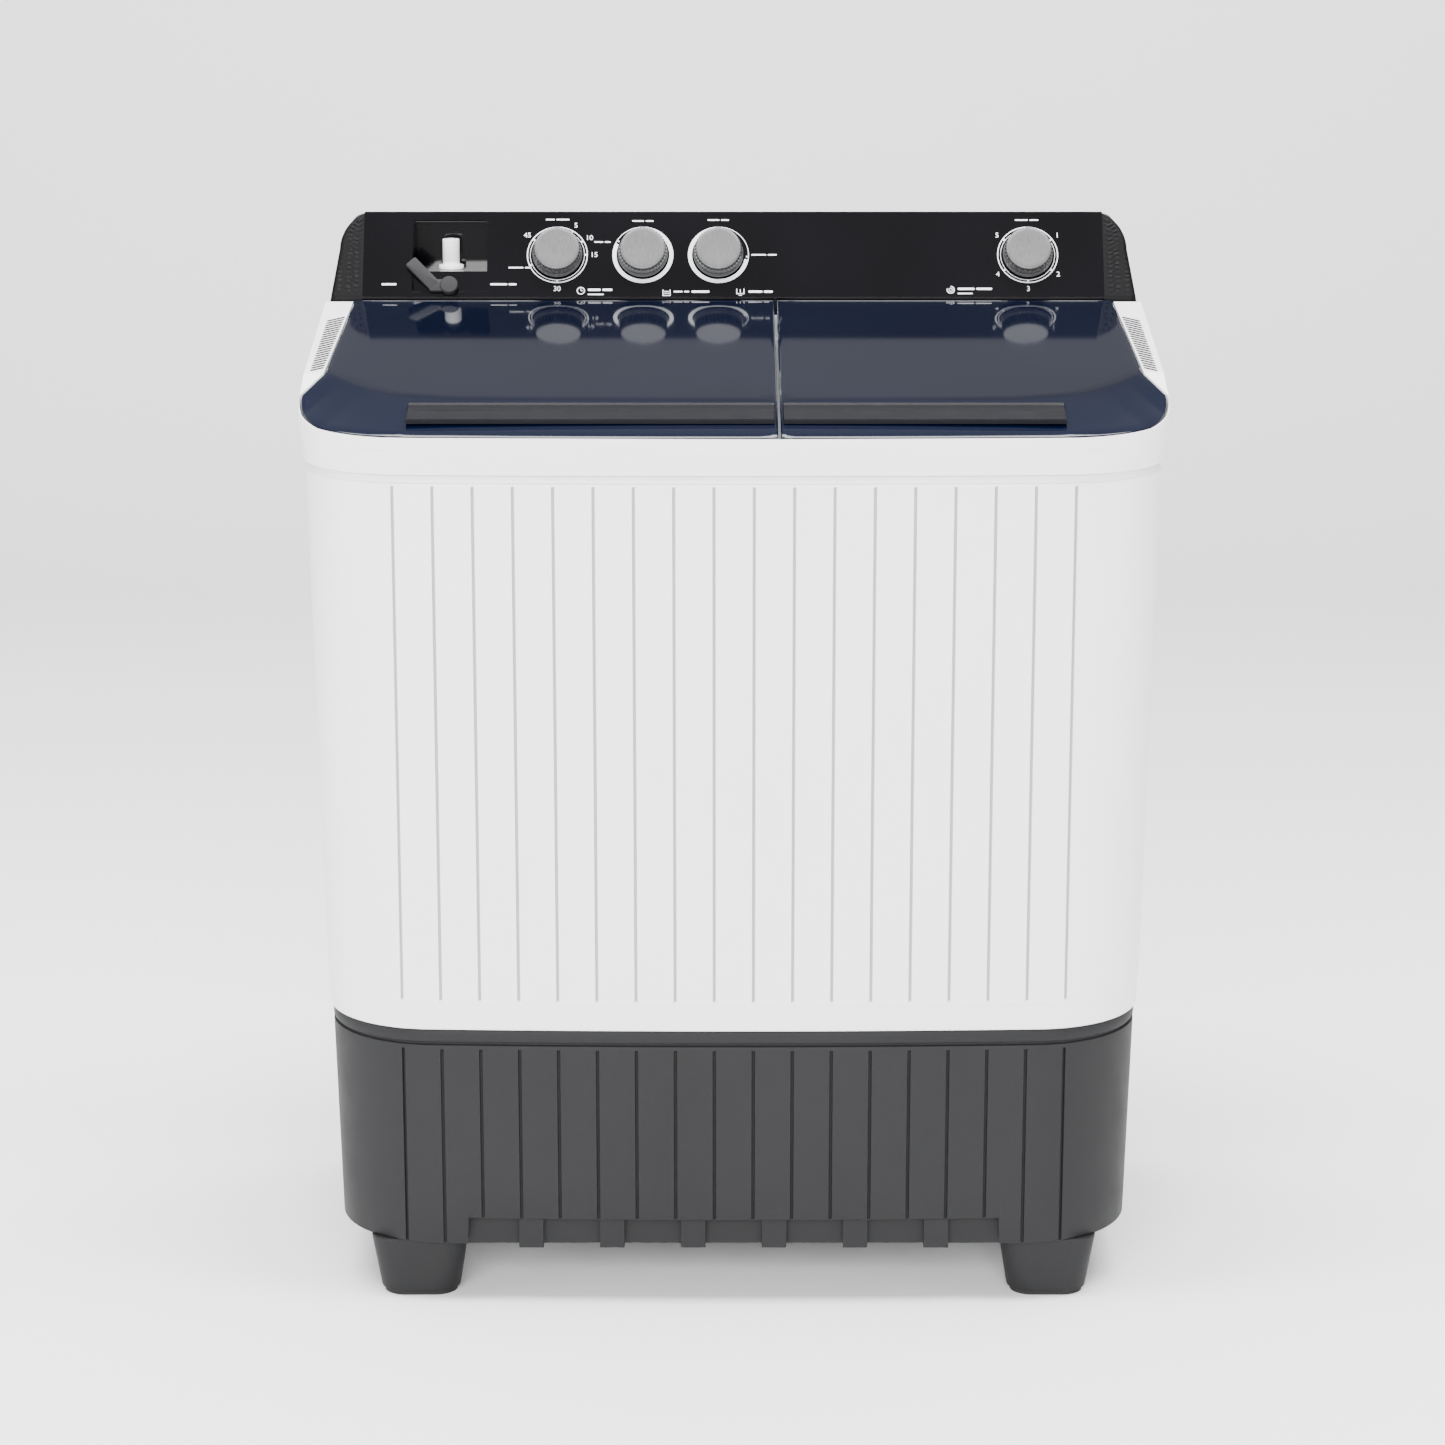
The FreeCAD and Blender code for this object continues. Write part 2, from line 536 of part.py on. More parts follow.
def lid_loop(side, grow):
    """A lid's outline seen from above, grown all round: round front corner, drawn-in back."""
    flat = "(rim_half-corner_radius)"
    corner = f"(corner_radius-lid_margin+({grow}))"
    front = f"(rim_front+lid_margin-({grow}))"
    out = f"(rim_half-lid_margin+({grow}))"
    shoulder = f"(rim_front+shoulder_y)"
    back = f"(lid_back+({grow}))"
    if side == "left":
        inner = f"(lid_split-lid_gap/2+({grow}))"
        return [(f"-{flat}", f"{front}+front_bow", corner, "left"), (inner, front), (inner, back),
                (f"-(rim_half-lid_back_inset+({grow}))", back),
                (f"-(rim_half-lid_shoulder+({grow}))", shoulder),
                (f"-{out}", f"{front}+front_bow+{corner}")]
    inner = f"(lid_split+lid_gap/2-({grow}))"
    return [(inner, front), (flat, f"{front}+front_bow"),
            (out, f"{front}+front_bow+{corner}", corner, "left"),
            (f"(rim_half-lid_shoulder+({grow}))", shoulder),
            (f"(rim_half-lid_back_inset+({grow}))", back), (inner, back)]


def lid_prism(side, grow=0):
    return prism([lid_loop(side, grow)], "XY", "frame_z+1", "overall_height-frame_z")


def tub_loop(grow=0):
    low_x, high_x = f"-wash_x-wash_half-({grow})", f"-wash_x+wash_half+({grow})"
    return rectangle(low_x, f"wash_low-({grow})", high_x, f"wash_high+({grow})", f"(wash_radius+({grow}))")


def well_loop(grow=0):
    return ("spin_x", "-spin_y", f"well_radius+({grow})")


def mouth_loop():
    """The wash opening in the deck, smaller than the tub under it."""
    return rectangle("-wash_x-wash_half+mouth_side", "wash_low+mouth_front",
                     "-wash_x+wash_half-mouth_side", "console_y-mouth_back", "mouth_radius")


def top_frame():
    """White frame: rim, two mouths with collars down to the tubs, side strips and hinge lugs."""
    outer = join("outer", loft(plan_outline("rim_half-frame_lip", "rim_front+frame_lip",
                                            "rim_back-frame_lip"),
                               plan_outline("rim_half", "rim_front", "rim_back"), "frame_z", "rim_z"),
                 loft(plan_outline("rim_half", "rim_front", "rim_back"),
                      plan_outline("rim_half-rim_taper", "rim_front+rim_taper", "rim_back"),
                      "rim_z", "panel_z"))
    bay = cut("bay", join("bays", lid_prism("left", "lid_play"), lid_prism("right", "lid_play"),
                          swing_room()), below(deck_line()))
    shell = cut("frame_shell", outer, above(TOP_LINE), bay, frame_hollow())
    collar_height = "console_z-frame_wall-frame_z"
    wash_collar = cut("wash_collar", prism([tub_loop("tub_wall")], "XY", "frame_z", collar_height),
                      prism([tub_loop()], "XY", "frame_z", collar_height),
                      above(deck_line("-frame_wall/2")))
    spin_collar = cut("spin_collar", prism([well_loop("tub_wall")], "XY", "frame_z", collar_height),
                      prism([well_loop()], "XY", "frame_z", collar_height),
                      above(deck_line("-frame_wall/2")))
    lugs = [box(f"{x}-lug_length/2", "hinge_y-lug_half", "hinge_z-lug_rise", "lug_length", "2*lug_half",
                "lug_rise+lug_top") for x in lug_places()]
    cover_y, cover_z = cover_axis()
    lugs += [box(f"spin_x+{x}-cover_lug/2", f"{cover_y}-lug_half", f"{cover_z}-cover_lug-3", "cover_lug",
                 "2*lug_half", "cover_lug+3+lug_top") for x in ("cover_lug_x", "(-cover_lug_x)")]
    body = join("frame_body", shell, wash_collar, spin_collar, *lugs)
    pins = [rod(f"{x}-lug_length", "hinge_y", "hinge_z", "hinge_pin+seat_gap", "2*lug_length", "X")
            for x in lug_places()]
    pins += [rod(f"spin_x+{x}-cover_lug", cover_y, cover_z, "cover_pin+fit_gap", "2*cover_lug", "X")
             for x in ("cover_lug_x", "(-cover_lug_x)")]
    mouths = [prism([mouth_loop()], "XY", "frame_z+5", collar_height),
              prism([("spin_x", "-spin_y-mouth_shift", "spin_mouth")], "XY", "frame_z+5", collar_height),
              box("-panel_half+floor_border", "console_y+floor_border", "console_z-2*frame_wall",
                  "2*(panel_half-floor_border)", "console_depth-2*floor_border", "3*frame_wall")]
    grip = prism([[("-168", "rim_z+2"), ("-157", "rim_z-11"), ("148", "rim_z-11"),
                   ("164", "rim_z-4"), ("170", "rim_z+2")]], "XZ", "rim_front+1.5", "4")
    return cut("top_frame", body, *pins, *mouths, grip)


def lug_places():
    """Where the frame's hinge lugs stand: outside both ends of each lid's knuckles."""
    return ["-rim_half+lid_back_inset+lug_length+8", "lid_split-lug_length-4",
            "lid_split+lug_length+4", "rim_half-lid_back_inset-lug_length-8"]


def knuckle_places():
    """Where the lids' knuckles start, beside the lugs, and the lid each belongs to."""
    reach = "(lug_length/2+0.5)"
    left, middle, centre, right = lug_places()
    return {"left": [f"{left}+{reach}", f"{middle}-{reach}-knuckle_length"],
            "right": [f"{centre}+{reach}", f"{right}-{reach}-knuckle_length"]}


def lid(label, side):
    """Thin lid that follows the top line, with a shallow skirt and two hinge knuckles."""
    lid_line = [("rim_front", "rim_z+2"), ("fold_y", "fold_z"), ("console_y", "panel_z")]
    plate = cut("plate", lid_prism(side), above(lid_line),
                below([(y, f"{z}-lid_thick") for y, z in lid_line]))
    skirt = cut("skirt", lid_prism(side), lid_prism(side, "-2.5"), above(lid_line),
                below([(y, f"{z}-lid_skirt") for y, z in lid_line]),
                box("-rim_half", "console_y-lid_back_gap-60", "frame_z", "overall_width", "90",
                    "head_height"))
    knuckles = [rod(x, "hinge_y", "hinge_z", "knuckle", "knuckle_length", "X")
                for x in knuckle_places()[side]]
    webs = [box(x, "hinge_y-3", "hinge_z", "knuckle_length", "6", "hinge_drop-lid_thick/2")
            for x in knuckle_places()[side]]
    bores = [rod(f"{x}-1", "hinge_y", "hinge_z", "hinge_pin+fit_gap", "knuckle_length+2", "X")
             for x in knuckle_places()[side]]
    return cut(label, join(label + "_body", plate, skirt, *knuckles, *webs), *bores)


def lid_hinge_pins():
    left, middle, centre, right = lug_places()
    outward = [f"{left}-lug_length/2", f"{middle}-lug_length/2-knuckle_length",
               f"{centre}-lug_length/2", f"{right}-lug_length/2-knuckle_length"]
    return group("lid_hinge_pins", *[rod(x, "hinge_y", "hinge_z", "hinge_pin",
                                         "lug_length+knuckle_length", "X") for x in outward])


def lid_handle(label, left, right):
    """Grip strip lying on the sloping front of a lid."""
    body = new_body(label, (0, "fold_y", "fold_z"), tilt="atan((fold_rise-2)/fold_run)")
    pad(body, [rectangle(left, "-handle_gap-handle_run", right, "-handle_gap")], 0, "handle_rise")
    return body


def wash_tub():
    """Deep rounded tub with a flange, a shaft hole and a drain spigot in its floor."""
    body = new_body("wash_tub")
    pad(body, [tub_loop("tub_wall")], "tub_z", "frame_z-tub_z")
    pocket(body, [tub_loop()], "floor_z", "frame_z-floor_z")
    pad(body, [tub_loop("flange_lap"), tub_loop("tub_wall/2")], "frame_z-flange_thick", "flange_thick")
    pad(body, [("-wash_x+90", "wash_high-50", "hose_radius+hose_wall")], "tub_z-24", "24")
    pocket(body, [("-wash_x+90", "wash_high-50", "hose_radius")], "tub_z-25", "30+tub_wall")
    pocket(body, [("-wash_x", "wash_y", "hub_radius")], "tub_z-1", "tub_wall+2")
    return body


def spin_well():
    """Round well for the basket, with a flange, a bellows hole and a drain spigot."""
    body = new_body("spin_well")
    pad(body, [well_loop("tub_wall")], "tub_z", "frame_z-tub_z")
    pocket(body, [well_loop()], "floor_z", "frame_z-floor_z")
    pad(body, [well_loop("flange_lap"), well_loop("tub_wall/2")], "frame_z-flange_thick", "flange_thick")
    pad(body, [("spin_x-90", "-spin_y+95", "hose_radius+hose_wall")], "tub_z-24", "24")
    pocket(body, [("spin_x-90", "-spin_y+95", "hose_radius")], "tub_z-25", "30+tub_wall")
    pocket(body, [("spin_x", "-spin_y", "hub_radius")], "tub_z-1", "tub_wall+2")
    return body


def wash_bearing_housing():
    """Flanged bearing under the tub floor; its collar fills the floor's hole."""
    bore = "shaft_radius+fit_gap"
    return turned("wash_bearing_housing", ("-wash_x", "wash_y", 0), [
        (bore, "pulley_top+8"), ("shaft_radius+12", "pulley_top+8"), ("shaft_radius+12", "tub_z-12"),
        ("hub_radius+22", "tub_z-12"), ("hub_radius+22", "tub_z"), ("hub_radius-0.1", "tub_z"),
        ("hub_radius-0.1", "floor_z"), (bore, "floor_z")])


def wash_shaft():
    return turned("wash_shaft", ("-wash_x", "wash_y", 0), [
        (0, "pulley_z-6"), ("shaft_radius", "pulley_z-6"),
        ("shaft_radius", "floor_z+pulsator_height-8"), (0, "floor_z+pulsator_height-8")])


def pulsator():
    """Low dome with a socket for the shaft and eight fins."""
    base = "floor_z+pulsator_gap"
    body = new_body("pulsator", ("-wash_x", "wash_y", 0))
    turn(body, [("shaft_radius+seat_gap", base), ("pulsator_radius", base),
                ("pulsator_radius", f"{base}+5"), ("pulsator_radius*0.6", f"{base}+9"),
                ("hub_radius+12", f"{base}+16"), ("hub_radius+8", "floor_z+pulsator_height-2"),
                ("cap_radius-6", "floor_z+pulsator_height-2"), ("cap_radius-6", "floor_z+pulsator_height-8"),
                ("shaft_radius+seat_gap", "floor_z+pulsator_height-8")])
    fin = pad(body, [[("hub_radius+9", -5), ("pulsator_radius-14", -2.5), ("pulsator_radius-14", 2.5),
                      ("hub_radius+9", 5)]], f"{base}+4", 16)
    ring = body.newObject("PartDesign::PolarPattern", "pulsator_fins")
    ring.Originals = [fin]
    ring.Axis = (fin.Profile[0], ["N_Axis"])
    ring.Angle = 360
    ring.Occurrences = 6
    body.Tip = ring
    return body


def pulsator_cap():
    return turned("pulsator_cap", ("-wash_x", "wash_y", 0), [
        (0, "floor_z+pulsator_height-2"), ("cap_radius", "floor_z+pulsator_height-2"),
        ("cap_radius*0.8", "floor_z+pulsator_height+3"), (0, "floor_z+pulsator_height+5")])


def vee_pulley(label, spot, radius, bore):
    """A pulley with one belt groove."""
    low, high, middle = "pulley_z", "pulley_top", "(pulley_z+pulley_thick/2)"
    return turned(label, spot, [
        (f"{bore}+seat_gap", low), (radius, low), (radius, f"{middle}-belt_width/2"),
        (f"{radius}-belt_depth", f"{middle}-belt_width/2+2"),
        (f"{radius}-belt_depth", f"{middle}+belt_width/2-2"),
        (radius, f"{middle}+belt_width/2"), (radius, high), (f"{bore}+seat_gap", high)])


def belt_loop(inset):
    """The belt's path round both pulleys: two arcs and two straight runs."""
    big = f"(pulley_radius-({inset}))"
    small = f"(motor_pulley_radius-({inset}))"
    sine = "((pulley_radius-motor_pulley_radius)/motor_gap)"
    cosine = f"sqrt(1-{sine}^2)"
    return [(f"-wash_x+{big}*{sine}", f"wash_y-{big}*{cosine}"),
            (f"wash_motor_x+{small}*{sine}", f"wash_y-{small}*{cosine}"),
            (f"wash_motor_x+{small}", "wash_y", small, "left"),
            (f"wash_motor_x+{small}*{sine}", f"wash_y+{small}*{cosine}", small, "left"),
            (f"-wash_x+{big}*{sine}", f"wash_y+{big}*{cosine}"),
            (f"-wash_x-{big}", "wash_y", big, "left"),
            (f"-wash_x+{big}*{sine}", f"wash_y-{big}*{cosine}", big, "left")][1:]


def drive_belt():
    body = new_body("drive_belt")
    height = "belt_width-4-2*belt_play"
    pad(body, [belt_loop("0.5"), belt_loop("belt_depth-belt_play")],
        "pulley_z+pulley_thick/2-belt_width/2+2+belt_play", height)
    return body


def motor_can(label, spot, foot):
    """Hollow motor shell on a round foot plate, bored for its shaft at both ends."""
    bore = "motor_shaft+fit_gap"
    room, top = "motor_radius-motor_wall", f"{foot}+motor_height"
    return turned(label, spot, [
        (bore, foot), ("motor_radius+30", foot), ("motor_radius+30", f"{foot}+plate_thick"),
        ("motor_radius", f"{foot}+plate_thick"), ("motor_radius", f"{top}-8"),
        ("motor_radius-8", top), (bore, top), (bore, f"{top}-motor_wall-8"),
        (room, f"{top}-motor_wall-8"), (room, f"{foot}+plate_thick+motor_wall"),
        (bore, f"{foot}+plate_thick+motor_wall")])


def spin_motor():
    """Motor shell with a tall stepped post on its plate, which the brake arm turns on."""
    body = motor_can("spin_motor", ("spin_x", "-spin_y", 0), "spin_plate_z")
    post = ("-drum_radius-14", "54")
    pad(body, [(*post, "6")], "spin_plate_z+plate_thick/2", "drum_z+3.6-spin_plate_z-plate_thick/2")
    pad(body, [(*post, "3")], "drum_z", "22")
    return body


def motor_rotor(label, spot, foot, top):
    """Rotor core on its shaft, turning inside the motor shell."""
    core = "motor_radius-motor_wall-rotor_gap-8"
    low, high = f"{foot}+plate_thick+motor_wall+6", f"{foot}+motor_height-motor_wall-14"
    return turned(label, spot, [
        (0, f"{foot}+1"), ("motor_shaft", f"{foot}+1"), ("motor_shaft", low), (core, low), (core, high),
        ("motor_shaft", high), ("motor_shaft", top), (0, top)])


def suspension_springs():
    """Three coil springs between the pan and the spin motor's plate."""
    springs = []
    for angle in (90, 210, 330):
        helix = bind(doc.addObject("Part::Helix", "coil"), Pitch="(spring_length-2*spring_wire)/4",
                     Height="spring_length-2*spring_wire", Radius="spring_radius")
        x = f"spin_x+mount_radius*cos({angle})"
        y = f"mount_radius*sin({angle})-spin_y"
        place(helix, (x, y, "pan_top+spring_wire"))
        wire = bind(doc.addObject("Part::Circle", "wire"), Radius="spring_wire")
        place(wire, (f"{x}+spring_radius", y, "pan_top+spring_wire"),
              FreeCAD.Rotation(Vector(1, 0, 0), 90))
        coil = doc.addObject("Part::Sweep", "spring")
        coil.Sections = [wire]
        coil.Spine = (helix, [])
        coil.Solid = True
        coil.Frenet = True
        springs.append(coil)
    return group("suspension_springs", *springs)


def brake_drum():
    """Coupling drum that joins the motor shaft to the basket shaft."""
    return turned("brake_drum", ("spin_x", "-spin_y", 0), [
        ("motor_shaft+seat_gap", "drum_z"), ("drum_radius", "drum_z"),
        ("drum_radius", "drum_z+drum_height"), ("shaft_radius+seat_gap", "drum_z+drum_height"),
        ("shaft_radius+seat_gap", "drum_z+drum_height/2"),
        ("motor_shaft+seat_gap", "drum_z+drum_height/2")])


def spin_shaft():
    return turned("spin_shaft", ("spin_x", "-spin_y", 0), [
        (0, "drum_z+drum_height/2"), ("shaft_radius", "drum_z+drum_height/2"),
        ("shaft_radius", "basket_z+26"), (0, "basket_z+26")])


def shaft_bellows():
    """Rubber bellows that seals the shaft in the well's floor."""
    inner, outer = "shaft_radius+fit_gap", "bellows_radius"
    low = "tub_z-34"
    ribs = []
    for fold in range(3):
        ribs += [(outer, f"{low}+4+{fold}*9"), (f"{outer}-8", f"{low}+8.5+{fold}*9")]
    return turned("shaft_bellows", ("spin_x", "-spin_y", 0), [
        (inner, low), (f"{outer}-8", low), *ribs, (outer, "tub_z-1"), (outer, "tub_z"),
        ("hub_radius-0.1", "tub_z"), ("hub_radius-0.1", "floor_z+6"), (inner, "floor_z+6"),
        (inner, "floor_z"), (f"{outer}-12", "tub_z-4"), (f"{outer}-12", f"{low}+6"), (inner, f"{low}+6")])


def spin_basket():
    """Drum with a raised hub; the balance ring sits on its upper edge."""
    wall, hub = "basket_wall", "hub_radius+10"
    body = new_body("spin_basket", ("spin_x", "-spin_y", 0))
    turn(body, [("shaft_radius+seat_gap", "basket_z"), ("basket_radius", "basket_z"),
                ("basket_radius+basket_wall", f"basket_z+{wall}"),
                ("basket_radius+basket_wall", "basket_top"), ("basket_radius", "basket_top"),
                ("basket_radius", f"basket_z+2*{wall}"), (hub, f"basket_z+2*{wall}"),
                (f"{hub}-6", "basket_z+30"), ("shaft_radius+seat_gap", "basket_z+30")])
    hole = pocket(body, [("basket_radius*0.6", 0, 5)], "basket_z-1", "12")
    ring = body.newObject("PartDesign::PolarPattern", "basket_holes")
    ring.Originals = [hole]
    ring.Axis = (hole.Profile[0], ["N_Axis"])
    ring.Angle = 360
    ring.Occurrences = 12
    body.Tip = ring
    return body


def balance_ring():
    outer = "(basket_radius+basket_wall+4)"
    return turned("balance_ring", ("spin_x", "-spin_y", 0), [
        (f"{outer}-ring_width", "basket_top"), (outer, "basket_top"),
        (outer, "basket_top+ring_height-5"), (f"{outer}-5", "basket_top+ring_height"),
        (f"{outer}-ring_width+5", "basket_top+ring_height"),
        (f"{outer}-ring_width", "basket_top+ring_height-5")])


def cover_centre():
    """Middle of the spin mouth, on the deck."""
    y = "(-spin_y-mouth_shift)"
    return y, f"(deck_front_z+({y}-rim_front)*tan(deck_slope)+cover_gap)"


def cover_axis():
    """Where the inner cover's hinge axis runs, behind the spin mouth."""
    y, z = cover_centre()
    rise = "(spin_cover_thick+0.2)"
    return (f"({y}+cover_hinge_run*cos(deck_slope)-{rise}*sin(deck_slope))",
            f"({z}+cover_hinge_run*sin(deck_slope)+{rise}*cos(deck_slope))")


def spin_inner_cover():
    """Inner safety cover on the deck over the basket, with a finger grip and a hinge rod behind."""
    y, z = cover_centre()
    body = new_body("spin_inner_cover", ("spin_x", y, z), tilt="deck_slope")
    pad(body, [("0", "0", "spin_cover_radius")], 0, "spin_cover_thick")
    pad(body, [rectangle("-20", "-spin_cover_radius+14", "20", "-spin_cover_radius+26")],
        "spin_cover_thick/2", "6")
    pad(body, [rectangle("-20", "spin_cover_radius-8", "20", "cover_hinge_run")], 0, "spin_cover_thick+2")
    pad(body, [("cover_hinge_run", "spin_cover_thick+0.2", "cover_pin")], "-cover_lug_x-cover_lug/2",
        "2*cover_lug_x+cover_lug", "YZ")
    return body


def brake_arm():
    """Lever with a shoe that stands just off the drum, on a pin in the spin motor's plate."""
    reach = "drum_radius+2.5"
    body = new_body("brake_arm", ("spin_x", "-spin_y", "drum_z+4"))
    pad(body, [[(f"-({reach}+9)", "-18"), (f"-({reach})", "-18"), (f"-({reach})", "18"),
                ("-drum_radius-4", "46"), ("-drum_radius-10", "62"), ("-drum_radius-22", "62"),
                (f"-({reach}+9)", "40")]], 0, "14")
    pocket(body, [("-drum_radius-14", "54", "3+fit_gap")], -1, 16)
    return body


def console_side(inset):
    """The console's section: sill, leaning front, top that falls to the back, and upright back."""
    wall = f"({inset})"
    crest = "console_y+(overall_height-panel_z)/tan(panel_angle)"
    rear_top = "overall_height-console_fall"
    return [(f"console_y+{wall}*0.8", "console_z"), (f"console_y+{wall}*0.8", f"panel_z-{wall}*0.3"),
            (f"{crest}+{wall}*0.3", f"overall_height-{wall}"),
            (f"console_rear-console_chamfer-{wall}*0.6", f"{rear_top}-{wall}"),
            (f"console_rear-{wall}", f"{rear_top}-console_chamfer-{wall}*0.6"),
            (f"console_rear-{wall}", "console_z")]


DIAL_PLACE = ("console_y+dial_rise*cos(panel_angle)", "panel_z+dial_rise*sin(panel_angle)")


def panel_space(depth):
    """The room the front panel takes, down to a depth behind its face."""
    slab = bind(doc.addObject("Part::Box", "slab"), Length="2*panel_half", Width="panel_length+1",
                Height=f"{depth}+20")
    return place(slab, ("-panel_half", f"console_y+({depth})*sin(panel_angle)",
                        f"panel_z-({depth})*cos(panel_angle)"), tilt="panel_angle")


def console_housing():
    """Black shell behind the control panel, open below and to the front."""
    outer = prism([console_side(0)], "YZ", "-panel_half", "2*panel_half")
    inner = prism([console_side("console_wall")], "YZ", "-panel_half+console_wall",
                  "2*(panel_half-console_wall)")
    return cut("console_housing", outer, inner, panel_space("panel_thick"))


def console_panel():
    """Gloss control panel with its dial holes and the inlet recess."""
    body = new_body("console_panel", (0, "console_y", "panel_z"), tilt="panel_angle")
    recess = rectangle("recess_x-recess_half", "recess_low", "recess_x+recess_half", "recess_high", 3)
    holes = [(dial, "dial_rise", "control_shaft+fit_gap") for dial in DIALS.values()]
    outline = rectangle("-panel_half", "0.2", "panel_half", "panel_length-0.2")
    pad(body, [outline, recess, *holes], "-panel_thick", "panel_thick")
    return body


DIALS = {"wash_timer": "dial_one", "wash_type": "dial_two", "drain": "dial_three", "spin_timer": "dial_four"}


def end_cap(label, side):
    """Rounded console end: the console's section, trimmed to a leaning round-topped outline."""
    start = "panel_half" if side > 0 else "-rim_half+cap_inset"
    block = prism([console_side(0)], "YZ", start, "rim_half-cap_inset-panel_half")
    sign = "" if side > 0 else "-"
    reach, top = "(rim_half-cap_inset)", "overall_height"
    way = "left" if side > 0 else "right"
    shape = [(f"{sign}(panel_half-5)", "console_z-5"), (f"{sign}({reach}+1)", "console_z-5"),
             (f"{sign}({reach}-cap_lean*0.75)", f"{top}-cap_round"),
             (f"{sign}({reach}-cap_lean*0.75-cap_round)", top, "cap_round*1.06", way),
             (f"{sign}(panel_half-5)", top)]
    return overlap(label, block, prism([shape], "XZ", "rim_back+5", "console_depth+20"))


def inlet_housing():
    """Box behind the panel's recess, with the shelf that the water spigot stands on."""
    left = "recess_x-recess_half-recess_wall"
    low = "panel_z+recess_low*sin(panel_angle)-recess_wall"
    high = "panel_z+recess_high*sin(panel_angle)"
    outer = box(left, "console_y", low, "2*recess_half+2*recess_wall",
                "recess_depth+recess_wall", f"{high}-({low})")
    inner = box("recess_x-recess_half", "console_y-1", "shelf_z", "2*recess_half", "recess_depth+1",
                f"{high}-recess_wall-shelf_z")
    pipe = rod("recess_x", "console_y+spigot_y", f"{low}-1", "spigot_bore", "60")
    hub = bind(doc.addObject("Part::Cylinder", "pin_hole"), Radius="lever_pin+fit_gap", Height="26")
    place(hub, ("recess_x", "console_y+lever_rise*cos(panel_angle)+24*sin(panel_angle)",
                "panel_z+lever_rise*sin(panel_angle)-24*cos(panel_angle)"), tilt="panel_angle")
    front = bind(doc.addObject("Part::Box", "front"), Length="2*panel_half", Width="2*panel_length",
                 Height="100")
    place(front, ("-panel_half", "console_y+panel_thick*sin(panel_angle)-panel_length/2*cos(panel_angle)",
                  "panel_z-panel_thick*cos(panel_angle)-panel_length/2*sin(panel_angle)"),
          tilt="panel_angle")
    return cut("inlet_housing", outer, inner, pipe, hub, front)


def inlet_spigot():
    """Upright water inlet on the shelf, with a collar."""
    return turned("inlet_spigot", ("recess_x", "console_y+spigot_y", "shelf_z"), [
        ("spigot_bore", 0), ("spigot_radius+4", 0), ("spigot_radius+4", 4), ("spigot_radius", 5),
        ("spigot_radius", "spigot_length"), ("spigot_bore", "spigot_length")])


def diverter_lever():
    """Cranked flat lever that swings the inlet between the two tubs, on a pin square to the panel."""
    body = new_body("diverter_lever", ("recess_x", "console_y+lever_rise*cos(panel_angle)",
                                       "panel_z+lever_rise*sin(panel_angle)"), tilt="panel_angle")
    pad(body, [(0, 0, "lever_pin")], "-20", "20+lever_gap")
    pad(body, [(0, 0, "lever_hub")], "lever_gap", "lever_thick+2")
    across, out = "lever_width/2", "lever_length"
    sine, cosine = "sin(lever_angle)", "cos(lever_angle)"
    corners = [(f"{across}", "0"), (f"{across}", out), (f"-{across}", out), (f"-{across}", "0")]
    blade = [(f"({x})*{cosine}-({y})*{sine}-lever_foot", f"({x})*{sine}+({y})*{cosine}")
             for x, y in corners]
    pad(body, [rectangle(f"-lever_foot-{across}*{cosine}", f"-{across}", 0, across)], "lever_gap",
        "lever_thick")
    pad(body, [blade], "lever_gap", "lever_thick")
    return body


def knob(label, dial):
    """Dial knob: wide skirt, drawn-in grip and a socket for its shaft."""
    socket = "control_shaft+seat_gap"
    low, top = "knob_gap", "knob_gap+knob_height"
    return turned(label, (dial, *DIAL_PLACE), [
        (socket, low), ("knob_radius", low), ("knob_radius", f"{low}+4"), ("knob_radius-1", f"{low}+6"),
        ("knob_radius-1.4", f"{top}-2"), ("knob_radius-3.4", top), (0, top), (0, f"{low}+knob_socket"),
        (socket, f"{low}+knob_socket")], tilt="panel_angle")


def control_shaft(label, dial, back):
    return turned(label, (dial, *DIAL_PLACE), [
        (0, f"-({back})"), ("control_shaft", f"-({back})"), ("control_shaft", "knob_gap+knob_socket"),
        (0, "knob_gap+knob_socket")], tilt="panel_angle")


def control_box(label, dial, side, depth):
    """Closed case of a timer or switch behind the panel, bored for its shaft."""
    body = new_body(label, (dial, *DIAL_PLACE), tilt="panel_angle")
    half = f"({side})/2"
    pad(body, [rectangle(f"-{half}", f"-{half}", half, half, 3), (0, 0, "control_shaft+fit_gap")],
        f"-panel_thick-({depth})", depth)
    return body


def drain_crank():
    """Shaft of the drain knob with a crank and its pin behind the panel."""
    body = new_body("drain_crank", ("dial_three", *DIAL_PLACE), tilt="panel_angle")
    pad(body, [(0, 0, "control_shaft")], "-crank_back-crank_thick",
        "crank_back+crank_thick+knob_gap+knob_socket")
    reach = "crank_radius*sqrt(0.5)"
    pad(body, [(f"-{reach}", f"-{reach}", "crank_pin+3")], "-crank_back-crank_thick", "crank_thick")
    pad(body, [(0, 0, "control_shaft+4")], "-crank_back-crank_thick", "crank_thick")
    pad(body, [[("-2.5", "2.5"), (f"-{reach}-2.5", f"-{reach}+2.5"), (f"-{reach}+2.5", f"-{reach}-2.5"),
                ("2.5", "-2.5")]], "-crank_back-crank_thick", "crank_thick")
    pad(body, [(f"-{reach}", f"-{reach}", "crank_pin")], "-crank_back-crank_thick-crank_pin_length",
        "crank_pin_length+0.5")
    return body


